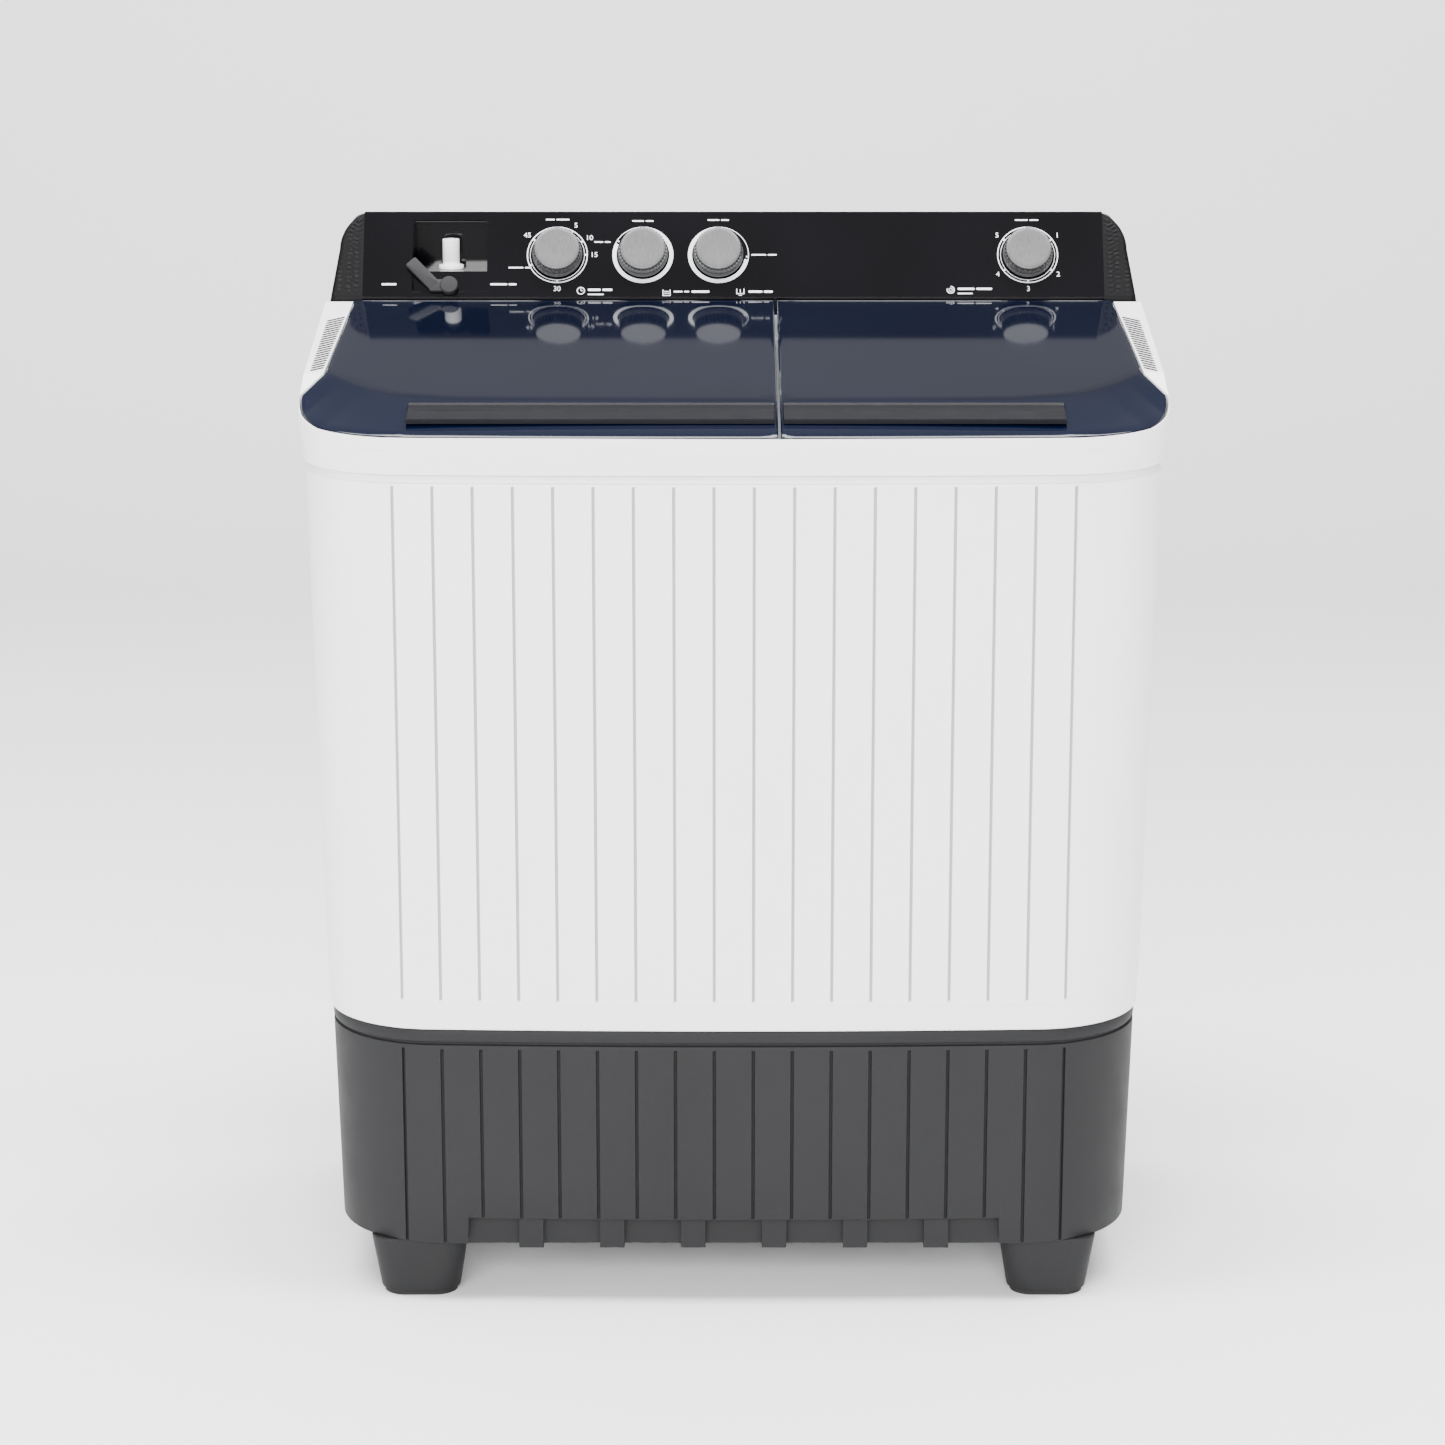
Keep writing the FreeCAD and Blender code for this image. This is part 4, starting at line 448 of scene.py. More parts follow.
def casing_loop(half, front, back, front_x):
    """The casing seen from above: a bowed front, quarter circles and straight sides.

    The front is an arc through the bow between the round corners; every level has the same stations.
    """
    flat = half - CORNER
    bow = (flat ** 2 + BOW ** 2) / (2 * BOW)
    reach = np.abs(front_x)
    arc = bow - np.sqrt(bow ** 2 - np.minimum(reach, flat) ** 2)
    turn = CORNER - np.sqrt(CORNER ** 2 - np.maximum(reach - flat, 0) ** 2)
    nose = np.column_stack([front_x, front + arc + turn])
    start = math.asin(max(front_x.max() - flat, 0) / CORNER)
    angle = between(start, math.pi / 2, 15)[1:]
    corner = np.column_stack([flat + CORNER * np.sin(angle), front + BOW + CORNER * (1 - np.cos(angle))])
    side_y = between(front + BOW + CORNER, back - REAR, 7)[1:]
    side = np.column_stack([np.full(len(side_y), half), side_y])
    angle = between(0, math.pi / 2, 8)[1:]
    rear = np.column_stack([half - REAR + REAR * np.cos(angle), back - REAR + REAR * np.sin(angle)])
    right = np.concatenate([corner, side, rear])
    tail = np.column_stack([between(half - REAR, REAR - half, 9)[1:-1], np.full(7, back)])
    left = right[::-1] * (-1, 1)
    return np.concatenate([nose, right, tail, left])


def casing_skin(levels, low, top, front_x, bottom=None):
    """A tapered casing wall as levels of one loop.

    levels holds (height, plain depth, groove depth); low and top are (z, half width, front, back), and the
    loop is drawn between them. The first level follows bottom(x), the wall's lower edge.
    """
    rows, marks = [], []
    for number, (z, plain, groove) in enumerate(levels):
        share = (z - low[0]) / (top[0] - low[0])
        half, front, back = [a + (b - a) * share for a, b in zip(low[1:], top[1:])]
        loop = casing_loop(half, front, back, front_x)
        x = loop[:, 0]
        near = np.abs(x[:, None] - GROOVES[None]).min(axis=1)
        is_front = loop[:, 1] < front + BOW + CORNER * 0.3
        depth = np.full(len(loop), float(plain))
        in_groove = is_front & (near < 1.1) & (groove > 0)
        depth += np.where(in_groove, groove, 0)
        # the groove mark tells the finish where to paint shade into the grooves
        marks.append(in_groove.astype(float))
        loop = loop - outward(loop) * depth[:, None]
        height = np.full(len(loop), float(z))
        if bottom is not None and number < 2:
            height = np.where(is_front, bottom(x), low[0]) + number * 1.5
        rows.append(np.column_stack([loop, height]))
    return Piece().add(stack(rows), mark=stack(marks))


cabinet_low, cabinet_high = box_of("cabinet")
base_low, base_high = box_of("base_casing")
cabinet_floor, cabinet_top = cabinet_low[2], cabinet_high[2]
CABINET_TAPER, BASE_TAPER = 11, 6
STEP_Z = cabinet_floor + 27
BAND_TOP = cabinet_top - 9

cabinet_levels = [(cabinet_floor, 2.4, 0), (cabinet_floor + 0.7, 1.5, 0), (cabinet_floor + 2, 1.1, 0),
                  (STEP_Z - 1.2, 1.1, 0), (STEP_Z - 0.2, 0.3, 0), (STEP_Z + 0.8, 0, 0), (STEP_Z + 2, 0, 0),
                  (STEP_Z + 4, 0, 2.4), *[(z, 0, 2.4) for z in between(STEP_Z + 60, BAND_TOP - 40, 6)],
                  (BAND_TOP - 3, 0, 2.4), (BAND_TOP - 1, 0, 0), (BAND_TOP, 0.2, 0), (BAND_TOP + 1.5, 2.0, 0),
                  (cabinet_top - 1, 2.4, 0)]
casing_skin(cabinet_levels, (cabinet_floor, cabinet_high[0] - CABINET_TAPER, cabinet_low[1] + CABINET_TAPER,
                             cabinet_high[1]),
            (cabinet_top, cabinet_high[0], cabinet_low[1], cabinet_high[1]), FRONT_X).make(
    "cabinet_skin", "casing", "white_shell", "cabinet", wall=2.5, outside=False)

ARCH_HALF = 258
ARCH_RISE = 26
base_z, base_top = base_low[2], base_high[2]
BASE_X = np.unique(np.concatenate([FRONT_X, strip(-ARCH_HALF - 4, -ARCH_HALF - 1, -ARCH_HALF, ARCH_HALF,
                                                  ARCH_HALF + 1, ARCH_HALF + 4)]))
base_levels = [(base_z, 0.8, 0), (base_z + 1.5, 0, 2.0), (base_z + ARCH_RISE + 6, 0, 2.0),
               *[(z, 0, 2.0) for z in between(base_z + 60, base_top - 50, 4)],
               (base_top - 22, 0, 2.0), (base_top - 20, 0, 0), (base_top - 16.5, 0.2, 0),
               (base_top - 15.5, 2.6, 0), (base_top - 14, 2.6, 0), (base_top - 12.5, 0.4, 0),
               (base_top - 11, 0, 0), (base_top - 1.5, 0, 0), (base_top, 0.8, 0)]
casing_skin(base_levels, (base_z, base_high[0] - BASE_TAPER, base_low[1] + BASE_TAPER, base_high[1]),
            (base_top, base_high[0], base_low[1], base_high[1]), BASE_X,
            lambda x: base_z + np.where(np.abs(x) <= ARCH_HALF, ARCH_RISE, 0)).make(
    "base_skin", "casing", "dark_base", "base_casing", wall=2.5, outside=False)

soften("top_frame", 1.6)
soften("base_pan", 1.5)
soften("feet", 2.0, 25)

# ---------------------------------------------------------------- lids

wash_low, wash_high = box_of("wash_lid")
spin_low = box_of("spin_lid")[0]
frame_low = box_of("top_frame")[0]
LID_SLOPE = math.tan(math.radians(13.1))
LID_EDGE_Y = strip(-250, -200, -160, -130, -100)
LID_EDGE_RISE = strip(0, 3, 11, 25, 40.5)
SIDE_BACK, SIDE_SHOULDER, SHOULDER_Y = 379, 391, -100
LID_SKIRT = 9
CREASE_Y = -172
CREASE_TURN = (-300, -162)
CREASE_IN = 2


def lid_plane(y):
    """Height of the lids' top plane at a depth."""
    return wash_high[2] + (y - wash_high[1]) * LID_SLOPE


def lid_loops(split):
    """The left lid's edge and its crease as matching anticlockwise loops, and the edge's height.

    Along the front and round the corner the crease keeps well inside the edge; elsewhere it runs 2 mm
    inside it. The edge dips to the rim at the front and meets the lid's plane behind the shoulder.
    """
    front, back, out = wash_low[1], wash_high[1], -wash_low[0]
    radius = CORNER - 4
    flat = out - radius
    bow = (flat ** 2 + BOW ** 2) / (2 * BOW)
    edge, crease, height = [], [], []

    def run(edge_points, crease_points, heights):
        """Add one stretch of both loops."""
        edge.append(edge_points)
        crease.append(crease_points)
        height.append(heights)

    x = between(-flat, split, 42)[:-1]
    y = front + bow - np.sqrt(bow ** 2 - x ** 2)
    crease_x = between(CREASE_TURN[0], split - CREASE_IN, 42)[:-1]
    crease_y = np.interp(crease_x, strip(CREASE_TURN[0], -262, split),
                         strip(CREASE_TURN[1], -168.5, CREASE_Y))
    run(np.column_stack([x, y]), np.column_stack([crease_x, crease_y]), np.full(len(x), RIM_EDGE))
    y = between(y[-1], CREASE_Y, 8)[:-1]
    run(np.column_stack([np.full(7, split), y]), np.tile(strip(split - CREASE_IN, CREASE_Y), (7, 1)),
        np.interp(y, strip(front, CREASE_Y), strip(RIM_EDGE, lid_plane(CREASE_Y))))
    y = between(CREASE_Y, back, 16)[:-1]
    run(np.column_stack([np.full(15, split), y]),
        np.column_stack([np.full(15, split - CREASE_IN), np.minimum(y, back - CREASE_IN)]), lid_plane(y))
    x = between(split, -SIDE_BACK, 22)[:-1]
    run(np.column_stack([x, np.full(21, back)]),
        np.column_stack([np.clip(x, CREASE_IN - SIDE_BACK, split - CREASE_IN),
                         np.full(21, back - CREASE_IN)]),
        lid_plane(np.full(21, back)))
    share = between(0, 1, 14)[:-1]
    x, y = -SIDE_BACK + (SIDE_BACK - SIDE_SHOULDER) * share, back + (SHOULDER_Y - back) * share
    run(np.column_stack([x, y]), np.column_stack([x + CREASE_IN, np.minimum(y, back - CREASE_IN)]),
        lid_plane(y))
    share = between(0, 1, 8)[:-1]
    start = (-out, front + BOW + radius)
    x, y = -SIDE_SHOULDER + (start[0] + SIDE_SHOULDER) * share, SHOULDER_Y + (start[1] - SHOULDER_Y) * share
    run(np.column_stack([x, y]), np.column_stack([-389 + 3 * share, -98 - 8 * share]),
        np.interp(y, LID_EDGE_Y, LID_EDGE_RISE + RIM_EDGE))
    angle = between(math.pi, 1.5 * math.pi, 26)[:-1]
    x, y = -flat + radius * np.cos(angle), front + BOW + radius + radius * np.sin(angle)
    share = between(0, 1, 26)[:-1, None]
    curve = (1 - share) ** 2 * strip(-386, -106) + 2 * share * (1 - share) * strip(-342, -160) \
        + share ** 2 * strip(*CREASE_TURN)
    run(np.column_stack([x, y]), curve, np.interp(y, LID_EDGE_Y, LID_EDGE_RISE + RIM_EDGE))
    return np.concatenate(edge), np.concatenate(crease), np.concatenate(height)


def lid_skin(split, mirror):
    """A lid as rows of one loop: middle, crease, slope, round lip, skirt and underside.

    Rows between crease and edge go straight from one to the other; the lip rows are the edge drawn in
    and dropped, so that its section is a small quarter round above an upright skirt.
    """
    edge, crease, height = lid_loops(split)
    middle = strip(crease[:, 0].mean(), crease[:, 1].mean())
    normal = outward(edge)
    crease3 = np.column_stack([crease, lid_plane(crease[:, 1])])
    rows, marks = [], []

    # a row's mark sets how much painted light shows through the lid there
    def row(points, mark):
        """Add one row and how far out it lies."""
        rows.append(points)
        marks.append(mark)

    for share in (0.0, 0.35, 0.7, 0.9, 0.985):
        flat = middle + (crease - middle) * share
        row(np.column_stack([flat, lid_plane(flat[:, 1])]), 0)
    row(crease3 - (0, 0, 0.3), 0.15)
    shoulder = np.column_stack([edge - normal * 1.6, height - 0.2])
    for share, mark in ((0.05, 0.5), (0.3, 0.75), (0.6, 0.9), (0.85, 1.0)):
        row(crease3 + (shoulder - crease3) * share - (0, 0, 0.3), mark)
    for inset, drop in ((1.2, 0.35), (0.45, 0.9), (0.08, 1.8), (0, 3.0), (0.2, LID_SKIRT - 0.6),
                        (0.8, LID_SKIRT), (2.4, LID_SKIRT), (3.0, LID_SKIRT - 0.8), (3.2, 4.5)):
        row(np.column_stack([edge - normal * inset, height - drop]), 1.0)
    row(crease3 * (0.99, 0.99, 1) - (0, 0, 4), 0.3)
    flat = np.broadcast_to(middle, crease.shape)
    row(np.column_stack([flat, lid_plane(flat[:, 1]) - 4]), 0)
    grid = stack(rows) * (-1, 1, 1) if mirror else stack(rows)
    return grid, np.array(marks)[:, None]


RIM_EDGE = frame_low[2] + 36.6
for label, split, mirror in (("wash_lid", wash_high[0], False), ("spin_lid", -spin_low[0], True)):
    grid, marks = lid_skin(split, mirror)
    lid = Piece().add(grid, mark=marks)
    hinge = np.array(JOINT[label + "_hinge"]["pos_m"]) / MM
    inner = split - 17
    for start in (-378 + 34, inner - 22):
        barrel = spun([(0.01, 0), (3, 0), (5.6, 0.4), (5.8, 1), (5.8, 15), (5.6, 15.6), (3, 16),
                       (0.01, 16)], 28)
        at = np.array([start, hinge[1], hinge[2]])
        turned = stand(barrel, at, (0, 1, 0), (0, 0, 1))
        lid.add(turned * (-1, 1, 1) if mirror else turned)
    lid.make(label + "_skin", label, "lid", label, sharp=28)


def grip_strip(node, body):
    """A finger strip: a stepped section carried along x, laid on the lid's front slope."""
    low, high = box_of(node)
    run = 40
    section = strip(0, -1.2, 0, 2.4, 0.9, 3.3, 18.5, 3.4, 20, 2.0, 21, 1.5, 36, 1.5, 37.4, 2.5, 39.2, 2.4,
                    run, 1.2, run, -1.2).reshape(-1, 2)
    ends = strip(0, 0.4, 1.6, 4)
    x = np.concatenate([low[0] + ends, high[0] - ends[::-1]])
    rows = []
    for number, at in enumerate(x):
        ease = strip(1.2, 0.5, 0.1, 0, 0, 0.1, 0.5, 1.2)[number]
        rows.append(np.column_stack([np.full(len(section), at), section[:, 0],
                                     section[:, 1] - ease * (section[:, 1] > 0)]))
    grid = stack([pole(rows[0]), *rows, pole(rows[-1])])
    slope = math.atan2(23, 75)
    origin = (0, low[1] + 1.0, low[2] + 0.2)
    grid = stand(grid, origin, (1, 0, 0), (0, math.cos(slope), math.sin(slope)))
    Piece().add(grid).make(node + "_skin", body, "lid_grip", node, sharp=30)


grip_strip("wash_lid_handle", "wash_lid")
grip_strip("spin_lid_handle", "spin_lid")

# ---------------------------------------------------------------- slots in the side strips

SHOULDER_Z = 899.95
STRIP_RISE = 0.2247


def strip_slots(side):
    """Thin dark slots across a side strip: rounded bars on the strip's slope, skewed to it; the dark bars are
    painted shade standing for the shadow inside the slots.
    """
    piece = Piece()
    skew = math.radians(35)
    for y in between(-90, 46, 22):
        share = (y - SHOULDER_Y) / (wash_high[1] - SHOULDER_Y)
        inner = SIDE_SHOULDER - share * (SIDE_SHOULDER - SIDE_BACK) + 3.6
        outer = 406.5 - (y - SHOULDER_Y) * 0.03
        reach = (outer - inner) / 2
        bar_loop = rectangle(-reach / math.cos(skew), -1.5, reach / math.cos(skew), 1.5, 1.2, 4)
        turned = bar_loop @ np.array([[math.cos(skew), math.sin(skew)], [-math.sin(skew), math.cos(skew)]])
        tilt = math.atan(STRIP_RISE)
        origin = ((-inner - outer) / 2, y, SHOULDER_Z + (y - SHOULDER_Y) * STRIP_RISE)
        bar_grid = stand(slab(turned, [(0, -0.5), (0, 0.25), (0.1, 0.35)]), origin, (1, 0, 0),
                         (0, math.cos(tilt), math.sin(tilt)))
        piece.add(bar_grid * (side, 1, 1))
    return piece


strip_slots(1).make("slots_left", "casing", "dark_base", finish="slit")
strip_slots(-1).make("slots_right", "casing", "dark_base", finish="slit")

# ---------------------------------------------------------------- console

housing_low, housing_high = box_of("console_housing")
PANEL_LEAN = math.tan(math.radians(60))
SILL = 18
CAP_LEAN, CAP_ROUND = 10.5, 36
RIB_PITCH, RIB_SWAY, SWAY_PITCH = 4.4, 2.2, 17
soften("console_housing", 0.6)
soften("console_panel", 0.8)
soften("inlet_housing", 0.8)


TOP_FALL = 14 / 85


def end_cap(node, side):
    """A console end: rows fan from the joint edge to a leaning outline with a round top corner.

    Each row is a closed band: front face, quarter round, side, back. The front follows the console's
    section in height, and fine waves are raised on the front and the side.
    """
    low, high = box_of(node)
    joint, reach = housing_high[0], max(abs(low[0]), abs(high[0]))
    foot, top = housing_low[2], housing_high[2]
    lean, radius = CAP_LEAN, CAP_ROUND
    rise = between(0, 1, 34)
    angle = between(0, math.pi / 2 * 0.78, 22)[1:]
    x = np.concatenate([reach - lean * rise, reach - lean - radius + radius * np.cos(angle)])
    z = np.concatenate([foot + (top - radius - foot) * rise, top - radius + radius * np.sin(angle)])
    keep = x >= joint
    x, z = x[keep], z[keep]
    x, z = np.append(x, joint), np.append(z, z[-1])
    root = foot + (z[-1] - foot) * between(0, 1, len(z))
    length = np.hypot(x - joint, z - root)
    edge = np.minimum(5.0, length * 0.45)
    back = housing_high[1]
    across, rounding = [], []
    for share in between(0, 1, 14):
        across.append(share * (length - edge)), rounding.append(np.zeros(len(z)))
    for angle in between(0, math.pi / 2, 7)[1:]:
        across.append(length - edge + edge * math.sin(angle)), rounding.append(edge * (1 - math.cos(angle)))
    far, near = np.array(across).T, np.array(rounding).T
    share = far / np.maximum(length, 1e-6)[:, None]
    px = joint + (x - joint)[:, None] * share
    pz = root[:, None] + (z - root)[:, None] * share
    face = housing_low[1] + np.maximum(pz - foot - SILL, 0) / PANEL_LEAN
    ripple = 0.7 * np.sin(TURN * (pz + RIB_SWAY * np.sin(px * TURN / SWAY_PITCH)) / RIB_PITCH)
    fade = np.clip((length[:, None] - far) / 3, 0, 1) * np.clip(far / 3, 0, 1)
    fade = fade * np.clip((pz - foot - 20) / 5, 0, 1)
    front = solid_points(px, face + near - ripple * fade + 0.7, pz)
    depth = between(0, 1, 26)[1:]
    start = front[:, -1:, 1]
    stop = np.minimum(back, back - 16 + np.maximum(0, top - 28 - z)[:, None])
    side_y = start + (stop - start) * depth[None]
    wave = 0.6 * np.sin(TURN * (z[:, None] + RIB_SWAY * np.sin(side_y * TURN / SWAY_PITCH)) / RIB_PITCH)
    wave = wave * np.minimum(depth, 1 - depth)[None] * 2
    crest = housing_low[1] + (top - foot - SILL) / PANEL_LEAN
    roof = top - np.maximum(side_y - crest, 0) * TOP_FALL
    flank = solid_points(x[:, None] - 0.6 + wave * (length[:, None] > 12), side_y,
                         np.minimum(z[:, None], roof))
    rear_x = joint + (x - joint)[:, None] * between(1, 0, 6)[None, 1:]
    rear_top = flank[:, -1, 2]
    rear_root = np.minimum(root, rear_top)
    rear_z = rear_top[:, None] + (rear_root - rear_top)[:, None] * between(0, 1, 6)[None, 1:]
    rear = solid_points(rear_x, np.broadcast_to(stop, rear_x.shape), rear_z)
    grid = np.concatenate([front, flank, rear], axis=1)
    grid = np.concatenate([pole(grid[0])[None], grid])
    grid = grid * (side, 1, 1)
    Piece().add(grid).make(node + "_skin", "casing", "console_matte", node, sharp=40)


end_cap("console_end_left", -1)
end_cap("console_end_right", 1)

DIALS = {"wash_timer": "wash_timer_turn", "wash_type": "wash_type_turn", "drain": "drain_turn",
         "spin_timer": "spin_timer_turn"}


def dial_axes(joint):
    """Centre of a dial on the panel's face, with its right, up and outward directions."""
    out = -np.array(JOINT[joint]["axis"])
    right = strip(1, 0, 0)
    return np.array(JOINT[joint]["pos_m"]) / MM, right, np.cross(out, right)


KNOB = [(0.01, 1.5), (22, 1.5), (24.8, 1.5), (25, 1.9), (25, 4.6), (24.7, 5.2), (24.3, 5.8), (24.1, 6.6),
        (24.1, 9), (24.0, 12), (23.9, 14.6), (23.7, 15.8), (23.1, 16.9), (22.2, 17.6), (20.8, 18.0),
        (19.0, 18.0), (9, 17.7), (0.01, 17.6)]
FLUTED = range(7, 13)


def knob(label):
    """A dial knob: a turned profile whose grip has fluted sides and a peak that points up."""
    centre, right, up = dial_axes(DIALS[label])

    def wave(angle, row):
        """The factor on the radius: flutes round the grip, and the pointer's peak at the top."""
        peak = np.exp(-((angle - math.pi / 2) / 0.11) ** 2)
        flutes = 0.035 * np.abs(np.sin(angle * 21)) ** 0.7
        if row in FLUTED:
            return 1 - flutes + 0.05 * peak
        return 1 + 0.05 * peak * (12 < row < 15)

    grid = spun(KNOB, 252, wave)
    mark = [1.0 if row in FLUTED else 0.25 if row < FLUTED.start else 0.0 for row in range(len(KNOB))]
    mark = np.array(mark)[:, None]
    Piece().add(stand(grid, centre, right, up), mark=mark).make(
        label + "_grip", BODY_OF[label + "_knob"], "dial_silver", label + "_knob", sharp=50)


for label in DIALS:
    knob(label)

PRINT_RISE = 0.25
PRINT_DEPTH = 0.3


def arc_band(inner, outer, start, stop):
    """A flat printed arc: a rectangle section carried round; angles run clockwise from the top."""
    angle = np.radians(90 - between(start, stop, max(3, int(abs(stop - start) / 3))))
    corners = [(inner, -PRINT_DEPTH), (outer, -PRINT_DEPTH), (outer, PRINT_RISE), (inner, PRINT_RISE)]
    rows = [np.column_stack([reach * np.cos(angle), reach * np.sin(angle), np.full(len(angle), height)])
            for reach, height in corners]
    grid = np.stack(rows, axis=1)
    return np.concatenate([pole(grid[0])[None], grid, pole(grid[-1])[None]])


def bar(x, y, width, height):
    """A printed bar about a point, its ends nearly round."""
    loop = rectangle(x - width / 2, y - height / 2, x + width / 2, y + height / 2,
                     min(width, height) * 0.45, 4)
    return slab(loop, [(0, -PRINT_DEPTH), (0, PRINT_RISE - 0.05), (0.05, PRINT_RISE)])


def dot(angle, radius, size=1.1):
    """A printed dot beside a dial; the angle runs clockwise from the top."""
    angle = math.radians(90 - angle)
    return slab(circle(radius * math.cos(angle), radius * math.sin(angle), size, 14),
                [(0, -PRINT_DEPTH), (0, PRINT_RISE), (0.05, PRINT_RISE + 0.05)])


def numeral(text, size, centre, right, up, angle, radius):
    """A number on the panel: a text curve made a mesh, then set round its dial."""
    curve = bpy.data.curves.new("numeral", "FONT")
    curve.body = text
    curve.size = size
    curve.align_x = "CENTER"
    curve.align_y = "CENTER"
    curve.extrude = 0.12
    maker = bpy.data.objects.new("numeral", curve)
    bpy.context.scene.collection.objects.link(maker)
    bpy.context.view_layer.update()
    mesh = bpy.data.meshes.new_from_object(maker)
    bpy.data.objects.remove(maker)
    points = np.zeros(len(mesh.vertices) * 3, np.float32)
    mesh.vertices.foreach_get("co", points)
    angle = math.radians(90 - angle)
    points = points.reshape(-1, 3) + strip(radius * math.cos(angle), radius * math.sin(angle), 0.1)
    points = stand(points, centre, right, up) * MM
    mesh.vertices.foreach_set("co", points.astype(np.float32).ravel())
    mesh.update()
    return mesh


marks = {label: Piece() for label in DIALS}
numbers = []
for label, ticks in (("wash_timer", {30: "5", 60: "10", 90: "15", 180: "30", 305: "45", 247: ""}),
                     ("spin_timer", {55: "1", 125: "2", 180: "3", 235: "4", 305: "5"})):
    centre, right, up = dial_axes(DIALS[label])
    for band in (arc_band(29.6, 30.6, 0, 360), arc_band(27.0, 27.5, 15, 345)):
        marks[label].add(stand(band, centre, right, up))
    for angle, text in ticks.items():
        marks[label].add(stand(dot(angle, 28.6), centre, right, up))
        if text:
            numbers.append(numeral(text, 7.6, centre, right, up, angle, 37))
for label, start, stop in (("wash_type", 20, 295), ("drain", 100, 365)):
    centre, right, up = dial_axes(DIALS[label])
    marks[label].add(stand(arc_band(26.6, 30.6, start, stop), centre, right, up))
    marks[label].add(stand(arc_band(29.9, 30.6, stop, start + 360), centre, right, up))
    for angle in (start - 6, stop + 6):
        marks[label].add(stand(dot(angle, 28.6, 0.9), centre, right, up))


def pictogram(kind):
    """Small signs beside the dials: a clock, a tub with waves, a drain and a spiral."""
    if kind == "clock":
        return [arc_band(3.2, 4.0, 0, 360), bar(0, 1.3, 0.7, 2.6), bar(1.0, 0, 2.0, 0.7)]
    if kind == "tub":
        return [bar(-3.6, 0, 0.8, 6.4), bar(3.6, 0, 0.8, 6.4), bar(0, -3.2, 8, 0.8), bar(0, 1.2, 5, 0.7),
                bar(0, -0.8, 5, 0.7)]
    if kind == "drain":
        return [bar(-3.6, 0.6, 0.8, 5.2), bar(3.6, 0.6, 0.8, 5.2), bar(0, -2.2, 8, 0.8),
                bar(0, 0.8, 0.8, 3.6), bar(0, -4.0, 3, 0.7)]
    return [arc_band(3.2, 4.0, 0, 290), arc_band(1.4, 2.0, 0, 360)]


def words(x, up, widths, height, gap=1.6):
    """A line of short printed dashes that stands where a word would."""
    made, at = [], x
    for width in widths:
        made.append((at + width / 2, up, width, height))
        at += width + gap
    return made


SIGNS = [("clock", "wash_timer", 24, -39), ("tub", "wash_type", 24, -41), ("drain", "drain", 22, -40),
         ("spiral", "spin_timer", -78, -38)]
DASHES = {
    "wash_timer": [(-12, 38.5, (9, 13), 1.5), (-49, -14, (15, 7), 1.5), (31, -38, (13, 10), 2.4),
                   (31, -43, (16,), 1.3)],
    "wash_type": [(-11, 37, (12, 8), 1.5), (-49, 14, (9, 6), 1.5), (31, -40, (9, 5), 1.5),
                  (49, -40, (18,), 2.4)],
    "drain": [(-11, 38, (12, 8), 1.5), (33, 0, (15, 9), 1.5), (30, -40, (14, 9), 2.4)],
    "spin_timer": [(-12, 38, (13, 9), 1.5), (-71, -37, (17, 16), 2.2), (-71, -42, (15,), 1.3)],
}
signs = Piece()
for kind, label, x, up in SIGNS:
    centre, right, ahead = dial_axes(DIALS[label])
    for shape in pictogram(kind):
        signs.add(stand(shape, centre + right * x + ahead * up, right, ahead))
for label, lines in DASHES.items():
    centre, right, ahead = dial_axes(DIALS[label])
    for x, up, widths, height in lines:
        for line in words(x, up, widths, height):
            signs.add(stand(bar(*line), centre, right, ahead))
lever_pos, lever_right, lever_up = dial_axes("diverter_turn")
for x, width in ((-68, 15), (41, 17), (59.5, 8)):
    signs.add(stand(bar(x + width / 2, 3, width, 2.0), lever_pos, lever_right, lever_up))
signs.make("console_signs", "casing", "white_shell", finish="print")
for label, piece in marks.items():
    piece.make(label + "_rings", "casing", "white_shell", finish="print")
for number, mesh in enumerate(numbers):
    dress(mesh, f"dial_number_{number}", "casing", "white_shell", finish="print")

# ---------------------------------------------------------------- water inlet

spigot_low, spigot_high = box_of("inlet_spigot")
spigot_foot = ((spigot_low + spigot_high) / 2) * (1, 1, 0) + strip(0, 0, spigot_low[2])
SPOUT = [(6, 29), (6.2, 30), (7.8, 30), (8.4, 29.5), (8.5, 28.6), (8.5, 8.2), (8.4, 8), (8.4, 6.8),
         (8.5, 6.5), (8.5, 5), (9, 4.4), (12, 4), (12.5, 3.4), (12.5, 0.3), (12, 0), (6, 0), (6, 29)]
spout = spun(SPOUT, 64)
Piece().add(spout + spigot_foot).make("spigot_skin", "casing", "white_shell", "inlet_spigot", sharp=40)


def lever():
    """The diverter: a round hub, a short foot to its left and a blade leaning outwards from it."""
    length, half, turn, foot = 36, 6.5, math.radians(43), 15
    spin = np.array([[math.cos(turn), math.sin(turn)], [-math.sin(turn), math.cos(turn)]])
    blade = rectangle(-half, -1.5, half, length, 2.0, 6) @ spin - (foot, 0)
    base = rectangle(-foot - half * math.cos(turn), -half, 2, half, 1.6, 5)
    piece = Piece()
    for loop, top in ((blade, 6.2), (base, 6.0)):
        rows = [(0.6, 1.2), (0, 1.7), (0, top - 1.0), (0.4, top - 0.3), (1.2, top)]
        piece.add(stand(slab(loop, rows), lever_pos, lever_right, lever_up))
    hub = spun([(0.01, 1.1), (8.6, 1.1), (9, 1.6), (9, 6.9), (8.2, 7.8), (5, 8.1), (0.01, 8.2)], 56)
    piece.add(stand(hub, lever_pos, lever_right, lever_up))
    piece.make("lever_skin", "diverter", "lever_grey", "diverter_lever", sharp=35)


lever()

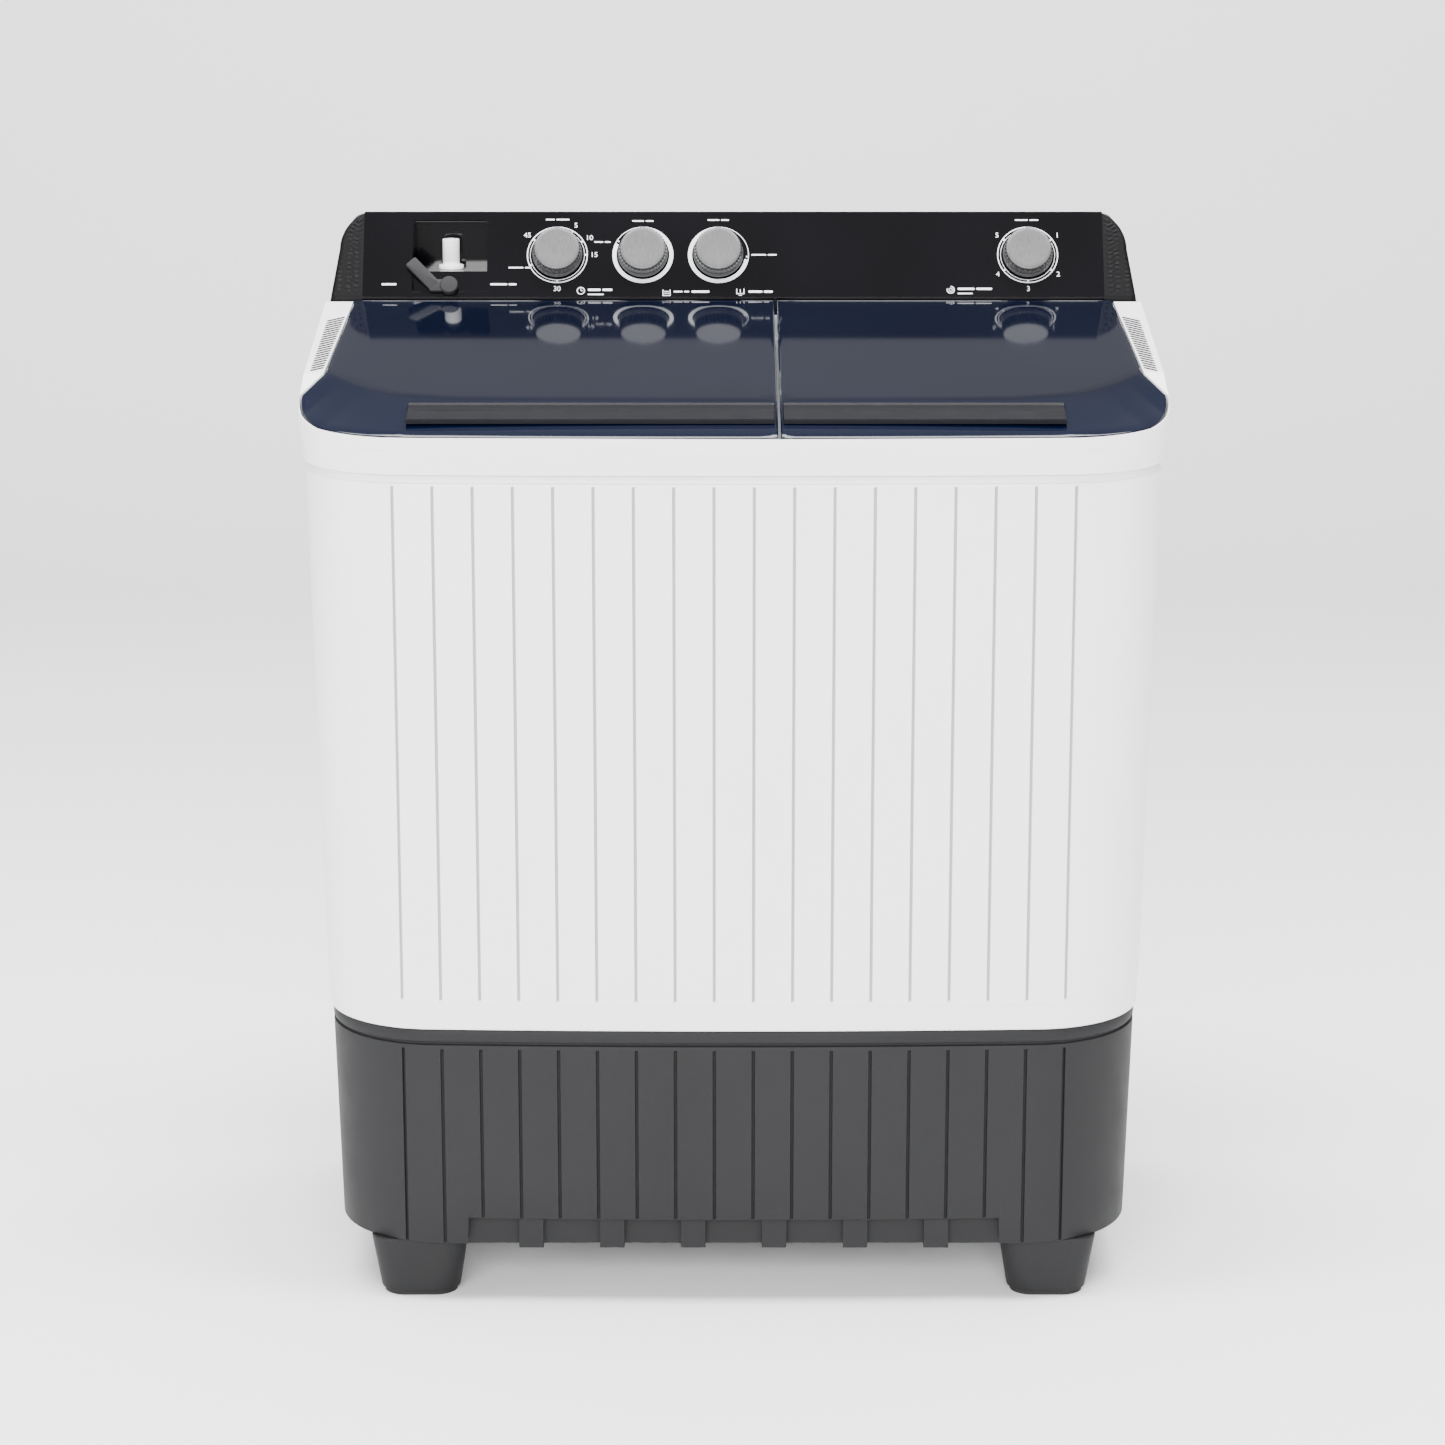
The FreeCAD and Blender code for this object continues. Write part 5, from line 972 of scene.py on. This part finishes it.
# ---------------------------------------------------------------- stage, light and camera

def backdrop():
    """A pale floor that sweeps up to a low wall behind: floor, quarter circle and wall, carried along x."""
    angle = between(-math.pi / 2, 0, 14)
    bend, far = 1500, 3400
    y = np.concatenate([strip(-6500), far + bend * np.cos(angle), strip(far + bend)])
    z = np.concatenate([strip(0), bend + bend * np.sin(angle), strip(1600)])
    grid = stack([solid_points(np.full(len(y), at), y, z) for at in (-6500, 6500)])
    mesh = bpy.data.meshes.new("backdrop")
    rows, columns = grid.shape[:2]
    index = np.arange(rows * columns).reshape(rows, columns)
    faces = np.stack([index[:-1, :-1], index[1:, :-1], index[1:, 1:], index[:-1, 1:]], axis=-1)
    mesh.from_pydata((grid.reshape(-1, 3) * MM).tolist(), [], faces.reshape(-1, 4).tolist())
    mesh.shade_smooth()
    floor = bpy.data.objects.new("backdrop", mesh)
    bpy.context.scene.collection.objects.link(floor)
    finish = Finish("pale_floor", IOR=1.2)
    drift = finish.noise(1.5, detail=2)
    tone = finish.blend(drift, (0.92, 0.92, 0.925), (0.94, 0.94, 0.94))
    mesh.materials.append(finish.done(tone, 0.85 + 0.05 * drift))


def soft_light(name, place, target, wide, tall, power):
    """A rectangular lamp at a place in metres, turned to face a target."""
    light = bpy.data.lights.new(name, "AREA")
    light.shape = "RECTANGLE"
    light.size = wide
    light.size_y = tall
    light.energy = power
    lamp = bpy.data.objects.new(name, light)
    bpy.context.scene.collection.objects.link(lamp)
    lamp.location = place
    way = np.array(target) - np.array(place)
    flat = math.hypot(way[0], way[1])
    lamp.rotation_euler = (math.atan2(flat, -way[2]), 0, math.atan2(-way[0], way[1]))


backdrop()
soft_light("front", (-0.5, -4.6, 1.9), (0, 0, 0.5), 3.6, 1.9, 430)
soft_light("over_front", (0, -0.85, 4.5), (0, -0.85, 0), 5.6, 1.3, 520)
soft_light("over_back", (0, 1.45, 4.5), (0, 1.45, 0), 5.6, 0.9, 240)
soft_light("left", (-3.6, -1.2, 0.75), (0, 0, 0.55), 1.6, 1.3, 60)
soft_light("right", (3.6, -1.2, 0.75), (0, 0, 0.55), 1.6, 1.3, 45)

world = bpy.data.worlds.new("studio")
world.use_nodes = True
world.node_tree.nodes["Background"].inputs["Color"].default_value = (1, 1, 1, 1)
world.node_tree.nodes["Background"].inputs["Strength"].default_value = 0.5
bpy.context.scene.world = world

lens = bpy.data.cameras.new("camera")
lens.sensor_width = 36
lens.lens = 102.1
camera = bpy.data.objects.new("camera", lens)
camera.location = (-0.0109, -4.0, 1.454)
camera.rotation_euler = (math.radians(90 - 12.96), 0, 0)
bpy.context.scene.collection.objects.link(camera)
bpy.context.scene.camera = camera
